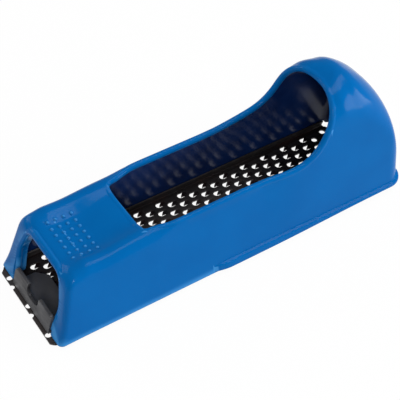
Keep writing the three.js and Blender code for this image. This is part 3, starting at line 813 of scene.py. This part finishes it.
# The rounded edge of the toe mouth: a roll as deep as the corner that is cut away for it
def mouth_roll():
    line = mouth_line(MOUTH_ROLL_RADIUS, MOUTH_FOOT)
    rings = []
    for k, point in enumerate(line):
        ahead = (line[min(k + 1, len(line) - 1)] - line[max(k - 1, 0)]).normalized()
        out = Vector((ahead.y, -ahead.x)) * MOUTH_ROLL_RADIUS
        ring = []
        for turn in turns_round(BEAD_SIDES):
            y, z = point + out * math.cos(turn)
            ring.append(Vector((MOUTH_ROLL_RADIUS * (1 + math.sin(turn)) + TOE_LEAN * z, y, z)))
        rings.append(ring)
    return loft("mouth_roll", rings, OUTSIDE)


def hollow():
    lip = mouth_slab("lip", MOUTH_LIP_THICKNESS, -OVERRUN, MOUTH_LIP_DEPTH, MOUTH_FOOT, INSIDE)
    return combine(inner_form(), "DIFFERENCE", lip)


def mouth_cutters():
    half = CLAMP_HALF_WIDTH + CLEARANCE * 2
    reach = TOE_TOP_ROUND + OVERRUN / 2
    low = (-reach, -CLAMP_SIDESTEP - half, -OVERRUN)
    high = (reach, -CLAMP_SIDESTEP + half, MOUTH_FOOT)
    return [
        mouth_slab("mouth", 0, -OVERRUN, MOUTH_LIP_DEPTH + OVERRUN, -OVERRUN),
        mouth_slab("mouth_edge", MOUTH_ROLL_RADIUS, -OVERRUN, MOUTH_ROLL_RADIUS, MOUTH_FOOT),
        block("clamp_slot", low, high, OUTSIDE),
    ]


# Room inside the long walls for the blade's rails, closed in front of their furthest place
def rail_rooms():
    near = BLADE_WIDTH / 2 - RAIL_BEND - CLEARANCE
    far = BLADE_WIDTH / 2 + CLEARANCE
    start = RAIL_FRONT_X - RAIL_TRAVEL - CLEARANCE - TOE_X
    end = BLADE_REAR_X - TOE_X + CLEARANCE
    top = RAIL_HEIGHT + CLEARANCE
    return [
        block("rail_room", (start, low_y, -OVERRUN), (end, high_y, top), INSIDE)
        for low_y, high_y in ((near, far), (-far, -near))
    ]


# The deck's height over a place, whose distance from the toe is sought because the toe wall leans
def deck_height_over(x, y):
    at = x
    for _ in range(ROUND_STEPS):
        at = x - lean_at(at) * crown_height(at)
    return height_of_form(at, y, 0)


# One pip: a low dome that stands in the deck
def pip(x, y):
    z = deck_height_over(x, y)
    rings = [level_ring(x, y, z - PIP_HEIGHT, PIP_RADIUS)]
    for turn in spaced(0, QUARTER_TURN, PIP_LEVELS + 1)[:-1]:
        rings.append(level_ring(x, y, z + PIP_HEIGHT * math.sin(turn), PIP_RADIUS * math.cos(turn)))
    return loft("pip", rings, OUTSIDE)


def pips():
    return joined("pips", [
        pip(PIP_FIRST_AT + column * PIP_PITCH_ALONG, (row - (PIP_ROWS - 1) / 2) * PIP_PITCH_ACROSS)
        for column in range(PIP_COLUMNS)
        for row in range(PIP_ROWS)
    ])


def screw_boss():
    ends = [(BODY_LENGTH - BOSS_LENGTH, BOSS_RADIUS), (BODY_LENGTH, BOSS_RADIUS)]
    return combine(turned("boss", ends, INSIDE), "INTERSECT", outer_form())


def screw_passages():
    through = [(BODY_LENGTH - BOSS_LENGTH - OVERRUN, BORE_RADIUS), (BODY_LENGTH, BORE_RADIUS)]
    seat = [(SEAT_AT, COUNTERBORE_RADIUS), (BODY_LENGTH + OVERRUN, COUNTERBORE_RADIUS)]
    return [turned("screw_hole", through, INSIDE), turned("counterbore", seat, OUTSIDE)]


def make_body():
    body = outer_form()
    combine(body, "UNION", skirt())
    combine(body, "DIFFERENCE", hollow(), *rail_rooms(), *mouth_cutters(), *grip_cutters())
    combine(body, "UNION", rim_bead(), mouth_roll(), screw_boss())
    combine(body, "DIFFERENCE", *screw_passages())
    return combine(body, "UNION", pips())


# The blade

def pattern_holes():
    reach = BLADE_WIDTH / 2 - PATTERN_SIDE_MARGIN
    count = math.ceil(BLADE_LENGTH / HOLE_STEP_ALONG) * 2
    result = []
    for i in range(-count, count + 1):
        for j in range(-count, count + 1):
            x = BLADE_FRONT_X + FIRST_HOLE_INSET + HOLE_STEP_ALONG * (i - j * HOLE_SKEW_SHARE)
            y = -HOLE_STEP_ACROSS * (i + j * 2)
            in_length = BLADE_FRONT_X - HOLE_NOTCH < x < BLADE_REAR_X - PATTERN_REAR_MARGIN
            if in_length and abs(y) <= reach:
                result.append(Vector((x, y)))
    return result


def nearest_hole(x, y):
    return min(pattern_holes(), key=lambda hole: (hole - Vector((x, y))).length)


def is_toothed(hole):
    return BLADE_FRONT_X + PLAIN_FRONT_LENGTH < hole.x < BLADE_REAR_X - PLAIN_REAR_LENGTH


# One of the two tips of a tooth, from its hole's middle
TIP = Vector((
    HOLE_RADIUS * math.cos(TOOTH_TIP_TURN) + TOOTH_TIP_REACH,
    HOLE_RADIUS * math.sin(TOOTH_TIP_TURN),
))


# Points round a hole's middle at these turns
def round_points(radius, turns):
    return [Vector((math.cos(turn), math.sin(turn))) * radius for turn in turns]


# Half the width of the pressed tooth, from its tips back to its root
def tooth_half_width(share):
    return TIP.y * math.sqrt(max(1 - share, 0))


# What is cut out of the strip for a hole, its round part first, then round its pressed tooth
def hole_outline(hole):
    if not is_toothed(hole):
        return [hole + point for point in round_points(PLAIN_HOLE_RADIUS, turns_round(CORNER_STEPS * 2))]
    arc = round_points(HOLE_RADIUS, spaced(TOOTH_TIP_TURN, math.tau - TOOTH_TIP_TURN, ROUND_STEPS))
    root = [
        (TIP.x + TOOTH_ROOT_LENGTH * share, -tooth_half_width(share))
        for share in spaced(0, 1, CORNER_STEPS)
    ]
    return [hole + Vector(point) for point in arc + root + flipped(root[:-1])]


# A hole that the strip's front edge runs through, as a notch in that edge
def front_notch(hole):
    first = math.acos((BLADE_FRONT_X - hole.x) / PLAIN_HOLE_RADIUS)
    return [hole + point for point in round_points(PLAIN_HOLE_RADIUS, spaced(first, -first, ROUND_STEPS))]


def inside_polygon(point, polygon):
    inside = False
    for a, b in zip(polygon, polygon[1:] + polygon[:1]):
        if (a.y > point.y) != (b.y > point.y):
            if point.x < a.x + (point.y - a.y) / (b.y - a.y) * (b.x - a.x):
                inside = not inside
    return inside


def strip_border(notched):
    half = BLADE_WIDTH / 2 - RAIL_BEND
    cut_x = BLADE_REAR_X - BLADE_CORNER_CUT + RAIL_BEND
    cut_y = BLADE_WIDTH / 2 - BLADE_CORNER_CUT
    corners = [
        (-cut_x, -half), (cut_x, -half), (BLADE_REAR_X, -cut_y), (BLADE_REAR_X, cut_y),
        (cut_x, half), (-cut_x, half), (BLADE_FRONT_X, cut_y),
    ]
    border = [Vector(corner) for corner in corners]
    for hole in notched:
        border += front_notch(hole)
    return border + [Vector((BLADE_FRONT_X, -cut_y))]


# The flat strip with its holes, as faces at the top and the bottom and walls between them
def strip_mesh():
    holes = sorted(pattern_holes(), key=lambda hole: -hole.y)
    notched = [hole for hole in holes if hole.x - PLAIN_HOLE_RADIUS < BLADE_FRONT_X]
    outlines = [strip_border(notched)] + [hole_outline(hole) for hole in holes if hole not in notched]
    flat = []
    edges = []
    owner = []
    for k, polygon in enumerate(outlines):
        first = len(flat)
        flat += polygon
        owner += [k] * len(polygon)
        edges += [(first + i, first + (i + 1) % len(polygon)) for i in range(len(polygon))]
    points, _, faces, origins, _, _ = delaunay_2d_cdt(flat, edges, [], 0, TINY)
    kept = []
    for face in faces:
        owners = [{owner[i] for i in origins[v]} for v in face]
        shared = set.intersection(*owners) - {0}
        middle = sum((points[v] for v in face), Vector((0, 0))) / len(face)
        in_hole = any(inside_polygon(middle, outlines[k]) for k in shared)
        if inside_polygon(middle, outlines[0]) and not in_hole:
            kept.append(tuple(face))
    count = len(points)
    solid = [Vector((point.x, point.y, z)) for z in (0, -BLADE_THICKNESS) for point in points]
    result = kept + [tuple(i + count for i in reversed(face)) for face in kept]
    place = {i: v for v, group in enumerate(origins) for i in group}
    result += [(place[a], place[b], place[b] + count, place[a] + count) for a, b in edges]
    return solid, result


# A tooth's top and bottom point at a share of the way from its tips to its root, and one of the way across
def tooth_points(share, side_share):
    dip = TOOTH_TOP_DIP * (1 - side_share * side_share) * (1 - share)
    front = lerp(TONGUE_TIP, TIP.x, abs(side_share))
    x = lerp(front, TIP.x + TOOTH_ROOT_LENGTH, share)
    y = tooth_half_width(share) * side_share
    keel_share = (1 - abs(side_share)) ** 2 * (1 - share) ** TOOTH_DIP_POWER
    edge = lerp(TOOTH_EDGE_THICKNESS, BLADE_THICKNESS, share)
    depth = lerp(edge, TIP_DEPTH - TOOTH_TOP_DIP, keel_share)
    return Vector((x, y, -dip)), Vector((x, y, -dip - depth))


# A pressed tooth: a tongue that dips under the strip from its root to a pointed tip, with a keel below it
def tooth_mesh():
    across = CORNER_STEPS * 2
    deep = CORNER_STEPS - 2
    pairs = [
        tooth_points(share, side_share)
        for share in spaced(0, 1, deep)
        for side_share in spaced(-1, 1, across)
    ]
    count = len(pairs)
    faces = []
    for r in range(deep):
        for c in range(across):
            a = r * (across + 1) + c
            quad = (a, a + 1, a + across + 2, a + across + 1)
            faces.append(quad)
            faces.append(tuple(i + count for i in reversed(quad)))
    faces += [(c, c + count, c + 1 + count, c + 1) for c in range(across)]
    return [top for top, low in pairs] + [low for top, low in pairs], faces


def rail_profile():
    half = BLADE_WIDTH / 2
    centre_y = half - RAIL_BEND
    centre_z = RAIL_BEND - BLADE_THICKNESS
    bend = RAIL_BEND - RAIL_THICKNESS
    lip = [
        (half, RAIL_HEIGHT - RAIL_LIP), (half - RAIL_LIP, RAIL_HEIGHT),
        (half - RAIL_THICKNESS + RAIL_LIP, RAIL_HEIGHT), (half - RAIL_THICKNESS, RAIL_HEIGHT - RAIL_LIP),
    ]
    outer = []
    inner = []
    for turn in spaced(0, QUARTER_TURN, CORNER_STEPS):
        outer.append((centre_y + RAIL_BEND * math.sin(turn), centre_z - RAIL_BEND * math.cos(turn)))
        inner.append((centre_y + bend * math.cos(turn), bend - bend * math.sin(turn)))
    return outer + lip + inner


# One end of a rail: it follows the strip's cut corner below, and stands upright above the strip
def rail_end(side, direction, upper_x):
    cut_x = BLADE_REAR_X - BLADE_CORNER_CUT + BLADE_WIDTH / 2
    ring = []
    for y, z in rail_profile():
        x = direction * (cut_x - y) if z < BLADE_THICKNESS else upper_x
        ring.append(Vector((x, side * y, z)))
    return ring


def rail(side):
    return loft("rail", [rail_end(side, -1, RAIL_FRONT_X), rail_end(side, 1, RAIL_REAR_X)])


def make_teeth():
    tooth, tooth_faces = tooth_mesh()
    points = []
    faces = []
    for hole in filter(is_toothed, pattern_holes()):
        faces += [tuple(i + len(points) for i in face) for face in tooth_faces]
        points += [point + hole.to_3d() for point in tooth]
    return new_object("teeth", points, faces)


def make_blade():
    return joined("blade", [new_object("strip", *strip_mesh()), make_teeth(), rail(1), rail(-1)])


# The small parts

def peg(x, y, top):
    low = -BLADE_THICKNESS - PEG_REACH
    tip = PEG_RADIUS * PEG_TIP_SHARE
    profile = ((top, PEG_RADIUS), (low + tip, PEG_RADIUS), (low, PEG_RADIUS - tip))
    return loft("peg", [level_ring(x, y, z, radius) for z, radius in profile])


def add_pegs(made, x, middle_y, top):
    for side in (1, -1):
        hole = nearest_hole(x, middle_y + side * PEG_SPREAD)
        combine(made, "UNION", peg(hole.x, hole.y, top))


# Cuts the hole that the screw passes through with room round it
def drill(made, front_x, rear_x):
    bore = [(front_x - OVERRUN, BORE_RADIUS), (rear_x + OVERRUN, BORE_RADIUS)]
    combine(made, "DIFFERENCE", turned("bore", bore))


# Where the clamp's rear face, which leans like the toe wall, stands at a height
def clamp_rear_x(z):
    return TOE_X - CLEARANCE + TOE_LEAN * z


def clamp_front_x(z):
    return clamp_rear_x(z) - CLAMP_THICKNESS * math.hypot(1, TOE_LEAN)


def clamp_plate():
    top = CLAMP_EAR_HEIGHT
    low = CLEARANCE
    inner = [(CLAMP_FOOT_END_X, CLAMP_HIGH), (clamp_rear_x(CLAMP_HIGH), CLAMP_HIGH), (clamp_rear_x(top), top)]
    outer = [(clamp_front_x(top), top), (clamp_front_x(low), low), (CLAMP_FOOT_END_X, low)]
    outline = softened(inner, CLEARANCE) + softened(outer, CLAMP_BEND)
    return side_extrusion("plate", outline, CLAMP_HALF_WIDTH)


def clamp_notch():
    half = CLAMP_NOTCH_HALF_WIDTH
    left = [(-half, CLAMP_EAR_HEIGHT + OVERRUN), (-half, CLAMP_NOTCH_BOTTOM)]
    outline = softened(left + mirrored(left), CLAMP_NOTCH_ROUND)
    return front_extrusion("notch", outline, CLAMP_CUT_ENDS)


# What is cut off one side of the clamp: along its foot, and round the top corner of its ear
def clamp_side_cutters(side):
    start = clamp_rear_x(CLAMP_HIGH) + CLEARANCE
    end = CLAMP_FOOT_END_X + CLEARANCE
    foot = CLAMP_FOOT_HALF_WIDTH
    out = CLAMP_HALF_WIDTH + OVERRUN
    trim = [
        (start, foot),
        (CLAMP_FOOT_END_X - CLAMP_FOOT_CORNER_CUT, foot),
        (end, foot - CLAMP_FOOT_CORNER_CUT - CLEARANCE),
        (end, out),
        (start, out),
    ]
    ear = side * CLAMP_HALF_WIDTH
    top = CLAMP_EAR_HEIGHT
    corner = softened([(ear, top - OVERRUN), (ear, top), (ear - side * OVERRUN, top)], CLAMP_EAR_ROUND)[1:-1]
    corner.append(Vector((ear + side * CLEARANCE, top + CLEARANCE)))
    return [
        plan_extrusion("trim", [(x, side * y) for x, y in trim], -OVERRUN, CLAMP_HIGH + CLEARANCE),
        front_extrusion("ear_corner", corner, CLAMP_CUT_ENDS),
    ]


def make_clamp():
    clamp = clamp_plate()
    combine(clamp, "DIFFERENCE", clamp_notch(), *clamp_side_cutters(1), *clamp_side_cutters(-1))
    clamp.data.transform(Matrix.Translation(Vector((0, -CLAMP_SIDESTEP, 0)) * MM))
    round_edges(clamp, EDGE_ROUND)
    add_pegs(clamp, BLADE_FRONT_X + CLAMP_PEG_INSET, -CLAMP_SIDESTEP, CLAMP_HIGH - CLAMP_THICKNESS / 2)
    return clamp


def hook_foot(low, high):
    front_x = HOOK_REAR_X - HOOK_FOOT_LENGTH
    half = HOOK_FOOT_HALF_WIDTH
    side = [(HOOK_REAR_X, -half), (front_x + HOOK_CORNER_CUT, -half), (front_x, HOOK_CORNER_CUT - half)]
    return plan_extrusion("foot", side + flipped(side), low, high)


def hook_upright(low):
    left = [(-HOOK_UPRIGHT_HALF_WIDTH, low), (-HOOK_UPRIGHT_HALF_WIDTH, SCREW_HEIGHT + HOOK_UPRIGHT_OVER)]
    outline = softened(left + mirrored(left), HOOK_TOP_ROUND)
    return front_extrusion("upright", outline, (HOOK_REAR_X - HOOK_THICKNESS, HOOK_REAR_X))


def make_hook():
    high = CLEARANCE + HOOK_THICKNESS
    hook = combine(hook_foot(CLEARANCE, high), "UNION", hook_upright(CLEARANCE))
    drill(hook, HOOK_REAR_X - HOOK_THICKNESS, HOOK_REAR_X)
    round_edges(hook, EDGE_ROUND)
    add_pegs(hook, BLADE_REAR_X - HOOK_PEG_INSET, 0, high - HOOK_THICKNESS / 2)
    return hook


def make_nut():
    half = NUT_SIDE / 2
    nut = block("nut", (NUT_FRONT_X, -half, SCREW_HEIGHT - half), (NUT_REAR_X, half, SCREW_HEIGHT + half))
    drill(nut, NUT_FRONT_X, NUT_REAR_X)
    round_edges(nut, EDGE_ROUND * 2)
    return nut


def make_washer():
    rear_x = WASHER_FRONT_X + WASHER_THICKNESS
    washer = turned("washer", [
        (WASHER_FRONT_X, WASHER_RADIUS - EDGE_ROUND), (WASHER_FRONT_X + EDGE_ROUND, WASHER_RADIUS),
        (rear_x - EDGE_ROUND, WASHER_RADIUS), (rear_x, WASHER_RADIUS - EDGE_ROUND),
    ])
    drill(washer, WASHER_FRONT_X, rear_x)
    return washer


# The threaded shank: rings along the axis whose radius follows the thread round the turn
def threaded_shank(tip_x, end_x):
    rings = []
    for x in spaced(tip_x, end_x, round((end_x - tip_x) / SCREW_PITCH * CORNER_STEPS)):
        chamfer_share = min((x - tip_x) / SCREW_TIP_CHAMFER, 1)
        most = lerp(SCREW_ROOT_RADIUS - CLEARANCE, SCREW_RADIUS, chamfer_share)
        ring = []
        for turn_share in spaced(0, 1, ROD_SIDES)[:-1]:
            crest_share = 1 - abs((x / SCREW_PITCH - turn_share) % 1 * 2 - 1)
            radius = min(lerp(SCREW_ROOT_RADIUS, SCREW_RADIUS, crest_share), most)
            ring.append(round_axis(x, radius, turn_share * math.tau))
        rings.append(ring)
    return loft("shank", rings)


def screw_head(rear_x):
    edge = SCREW_HEAD_ROUND
    side = SCREW_HEAD_RADIUS
    profile = [(HEAD_FRONT_X, side - EDGE_ROUND), (HEAD_FRONT_X + EDGE_ROUND, side)]
    profile += [
        (rear_x - edge * (1 - math.sin(turn)), side - edge * (1 - math.cos(turn)))
        for turn in spaced(0, QUARTER_TURN, CORNER_STEPS)
    ]
    return turned("head", profile)


def make_screw():
    rear_x = HEAD_FRONT_X + SCREW_HEAD_THICKNESS
    half = SCREW_SLOT_WIDTH / 2
    reach = SCREW_HEAD_RADIUS + OVERRUN
    low = (rear_x - SCREW_SLOT_DEPTH, -reach, SCREW_HEIGHT - half)
    high = (rear_x + SCREW_SLOT_DEPTH, reach, SCREW_HEIGHT + half)
    screw = screw_head(rear_x)
    combine(screw, "UNION", threaded_shank(NUT_FRONT_X - SCREW_TIP_LENGTH, HEAD_FRONT_X + EDGE_ROUND * 2))
    return combine(screw, "DIFFERENCE", block("slot", low, high))


# Materials

EVEN = (1, 1, 1)
WHITE = (1, 1, 1, 1)
PATCH_DETAIL = 3
PATCH_RANGE = (0.35, 0.65)
GRAIN_DETAIL = 4
GRAIN_RANGE = (0.3, 0.7)
EDGE_WEAR_AND_HIGHLIGHT_RANGE = (0.52, 0.58)
EDGE_WEAR_AND_HIGHLIGHT_MOST_SHARE = 0.6
ROUND_SAMPLES = 6
BUMP_DISTANCE = 0.05

# Each finish: its colours, which are the main one, the one that it drifts to and that of its sharp edges
# (wear on the blade and the zinc, a painted highlight on the blue paint and the grey clamp steel), its range
# of roughness, the scales of its patches and its grain, how far the grain is stretched, and the width in mm
# over which its edges look rounded
LOOKS = {
    "gloss_paint": dict(
        # The third colour, on the bead, the skirt's edges and the pips, is a painted highlight: light lines
        # where the gloss catches the lamps
        colours=((0.0, 0.116, 0.375, 1), (0.0, 0.106, 0.352, 1), (0.06, 0.3, 0.66, 1)),
        roughness=(0.1, 0.16), metallic=0.0, specular=0.06,
        patch_scale=60, grain_scale=700, stretch=EVEN, bump=0.06, edge_round=0.45,
    ),
    "inside_painted_shade": dict(
        # A darker, bluer copy of the gloss paint: painted shade for the inside of the body, where little
        # light reaches
        colours=((0.005, 0.026, 0.125, 1), (0.003, 0.016, 0.085, 1), (0.002, 0.03, 0.1, 1)),
        roughness=(0.14, 0.24), metallic=0.0, specular=0.08,
        patch_scale=90, grain_scale=420, stretch=EVEN, bump=0.12, edge_round=0.45,
    ),
    "blackened_steel": dict(
        colours=((0.009, 0.008, 0.009, 1), (0.022, 0.009, 0.008, 1), (0.06, 0.055, 0.055, 1)),
        roughness=(0.28, 0.5), metallic=0.35, specular=0.4,
        patch_scale=120, grain_scale=900, stretch=(0.15, 1, 1), bump=0.3, edge_round=0.1,
    ),
    "dull_grey_steel": dict(
        # The third colour, on the clamp's and hook's edges, is a painted highlight: bright thin lines along
        # the ear tops
        colours=((0.052, 0.052, 0.058, 1), (0.034, 0.034, 0.038, 1), (0.22, 0.22, 0.23, 1)),
        roughness=(0.36, 0.52), metallic=0.5, specular=0.5,
        patch_scale=150, grain_scale=1200, stretch=(1, 0.2, 1), bump=0.3, edge_round=0.15,
    ),
    "zinc_plating": dict(
        colours=((0.56, 0.57, 0.6, 1), (0.42, 0.44, 0.47, 1), (0.72, 0.73, 0.75, 1)),
        roughness=(0.22, 0.38), metallic=1.0, specular=0.5,
        patch_scale=200, grain_scale=1500, stretch=EVEN, bump=0.25, edge_round=0.12,
    ),
}


class Nodes:
    """The node tree of one material, with a short call for each kind of node."""

    def __init__(self, name):
        self.material = bpy.data.materials.new(name)
        self.material.use_nodes = True
        self.tree = self.material.node_tree
        self.shader = self.tree.nodes["Principled BSDF"]

    # The keys of inputs are sockets' names, or their numbers where several have one name
    def add(self, kind, inputs=None, **settings):
        node = self.tree.nodes.new(kind)
        for key, value in settings.items():
            setattr(node, key, value)
        self.set(node, inputs or {})
        return node

    def set(self, node, inputs):
        for key, value in inputs.items():
            if isinstance(value, bpy.types.NodeSocket):
                self.tree.links.new(value, node.inputs[key])
            else:
                node.inputs[key].default_value = value

    def noise(self, stretch, scale, detail):
        source = self.add("ShaderNodeTexCoord").outputs["Object"]
        place = self.add("ShaderNodeMapping", {"Vector": source, "Scale": stretch}).outputs["Vector"]
        inputs = {"Vector": place, "Scale": scale, "Detail": detail}
        return self.add("ShaderNodeTexNoise", inputs).outputs["Fac"]

    def spread(self, value, from_range, to_range):
        names = ("Value", "From Min", "From Max", "To Min", "To Max")
        inputs = dict(zip(names, (value, *from_range, *to_range)))
        return self.add("ShaderNodeMapRange", inputs).outputs["Result"]

    # Of a mix node's several sockets for A, B and the result, those for colour are 6, 7 and 2
    def mix(self, share, first, second):
        inputs = {0: share, 6: first, 7: second}
        return self.add("ShaderNodeMix", inputs, data_type="RGBA").outputs[2]

    def math(self, operation, first, second):
        return self.add("ShaderNodeMath", {0: first, 1: second}, operation=operation).outputs[0]


# A coated or bare metal: colour that drifts, edges lighter (wear on the blade and the zinc, a painted
# highlight on the blue paint and the grey clamp steel), uneven gloss and a fine bump
def metal(name, colours, roughness, metallic, specular, patch_scale, grain_scale, stretch, bump, edge_round):
    nodes = Nodes(name)
    patch = nodes.spread(nodes.noise(EVEN, patch_scale, PATCH_DETAIL), PATCH_RANGE, (0.0, 1.0))
    grain = nodes.noise(stretch, grain_scale, GRAIN_DETAIL)
    sharpness = nodes.add("ShaderNodeNewGeometry").outputs["Pointiness"]
    # Sharp edges turn to the third colour: real wear on the blade and the zinc, a painted highlight on the
    # blue paint and the grey clamp steel
    wear_and_highlight = nodes.spread(sharpness, EDGE_WEAR_AND_HIGHLIGHT_RANGE, (0.0, EDGE_WEAR_AND_HIGHLIGHT_MOST_SHARE))
    soft = nodes.add("ShaderNodeBevel", {"Radius": edge_round * MM}, samples=ROUND_SAMPLES)
    bumped = nodes.add("ShaderNodeBump", {
        "Height": grain,
        "Strength": bump,
        "Distance": BUMP_DISTANCE * MM,
        "Normal": soft.outputs["Normal"],
    })
    nodes.set(nodes.shader, {
        "Base Color": nodes.mix(wear_and_highlight, nodes.mix(patch, colours[0], colours[1]), colours[2]),
        "Roughness": nodes.spread(grain, GRAIN_RANGE, roughness),
        "Metallic": metallic,
        "Specular IOR Level": specular,
        "Normal": bumped.outputs["Normal"],
    })
    return nodes.material


# The stage: a white floor, soft lights and the photograph's camera, in metres

FLOOR_HALF = 40.0
FLOOR_SHARE = 0.96
FLOOR_COLOUR = (0.85, 0.85, 0.85, 1)
FLOOR_ROUGHNESS = 0.9
WORLD_STRENGTH = 0.28

# Each light's place, the point that it shines at, its two sides, and its power in watts
LIGHTS = {
    "key": ((-0.45, -0.75, 0.7), (0, 0, 0.02), (0.3, 0.3), 4),
    "panel": ((0.85, -0.58, 0.28), (0.05, 0, 0.03), (0.8, 0.5), 8),
    "top": ((0.36, 0.02, 0.95), (0, 0, 0.02), (0.4, 0.7), 4.5),
    "back": ((-0.5, 0.9, 0.5), (0, 0, 0.02), (0.6, 0.5), 3),
}

CAMERA_PLACE = Vector((-0.15192, -0.22536, 0.29607))
CAMERA_RIGHT = Vector((0.841253, -0.54055, 0.009991))
CAMERA_UP = Vector((0.384469, 0.611134, 0.691881))
CAMERA_BACK = Vector((-0.380102, -0.578205, 0.721942))
CLIP_START = 0.01
FOCAL_PIXELS = 1111.88
PHOTO_PIXELS = 400
SENSOR = 36


# White to the camera and to gloss, and a plain pale floor to everything else
def make_floor():
    half = FLOOR_HALF
    corners = [(-half, -half, 0), (half, -half, 0), (half, half, 0), (-half, half, 0)]
    mesh = bpy.data.meshes.new("floor")
    mesh.from_pydata(corners, [], [(0, 1, 2, 3)])
    floor = add_object("floor", mesh)
    nodes = Nodes("white_floor")
    path = nodes.add("ShaderNodeLightPath").outputs
    direct = nodes.math("MAXIMUM", path["Is Camera Ray"], path["Is Glossy Ray"])
    seen = nodes.math("MAXIMUM", direct, path["Is Transmission Ray"])
    share = nodes.math("MULTIPLY", seen, FLOOR_SHARE)
    white = nodes.add("ShaderNodeEmission", {"Color": WHITE, "Strength": 1.0}).outputs[0]
    pale = {"Base Color": FLOOR_COLOUR, "Roughness": FLOOR_ROUGHNESS, "Specular IOR Level": 0.0}
    nodes.set(nodes.shader, pale)
    mixed = nodes.add("ShaderNodeMixShader", {0: share, 1: nodes.shader.outputs[0], 2: white})
    nodes.set(nodes.tree.nodes["Material Output"], {"Surface": mixed.outputs[0]})
    mesh.materials.append(nodes.material)


def make_world():
    world = bpy.data.worlds.new("studio")
    bpy.context.scene.world = world
    world.use_nodes = True
    background = world.node_tree.nodes["Background"]
    background.inputs["Color"].default_value = WHITE
    background.inputs["Strength"].default_value = WORLD_STRENGTH


def make_light(name, place, target, sides, power):
    data = bpy.data.lights.new(name, "AREA")
    data.shape = "RECTANGLE"
    data.size, data.size_y = sides
    data.energy = power
    light = add_object(name, data)
    light.location = place
    light.rotation_euler = (Vector(target) - Vector(place)).to_track_quat("-Z", "Y").to_euler()


def make_camera():
    data = bpy.data.cameras.new("camera")
    data.sensor_fit = "HORIZONTAL"
    data.sensor_width = SENSOR
    data.lens = SENSOR * FOCAL_PIXELS / PHOTO_PIXELS
    data.clip_start = CLIP_START
    camera = add_object("camera", data)
    turn = Matrix((CAMERA_RIGHT, CAMERA_UP, CAMERA_BACK)).transposed()
    camera.matrix_world = Matrix.Translation(CAMERA_PLACE) @ turn.to_4x4()
    bpy.context.scene.camera = camera


# Each piece: what makes it, the body that it rides on, its slot, its finish and the node that it replaces
PIECES = {
    "cast_body": (make_body, "shell", "body_paint", "gloss_paint", "body"),
    "toothed_blade": (make_blade, "blade_train", "blade_steel", "blackened_steel", "blade"),
    "bent_front_clamp": (make_clamp, "blade_train", "clamp_steel", "dull_grey_steel", "front_clamp"),
    "bent_rear_hook": (make_hook, "blade_train", "clamp_steel", "dull_grey_steel", "rear_hook"),
    "square_nut": (make_nut, "blade_train", "zinc_steel", "zinc_plating", "tension_nut"),
    "round_washer": (make_washer, "shell", "zinc_steel", "zinc_plating", "screw_washer"),
    "tension_screw_turned": (make_screw, "screw", "zinc_steel", "zinc_plating", "tension_screw"),
}


make_camera()
looks = {name: metal(name, **look) for name, look in LOOKS.items()}
BODY_MATERIALS += [looks["gloss_paint"], looks["inside_painted_shade"]]
for piece_name, (make_piece, body_name, slot_name, finish, node_name) in PIECES.items():
    finish_piece(make_piece(), piece_name, body_name, looks[finish], node_name)
make_floor()
make_world()
for light_name, light in LIGHTS.items():
    make_light(light_name, *light)
bpy.context.scene.view_settings.view_transform = "Standard"
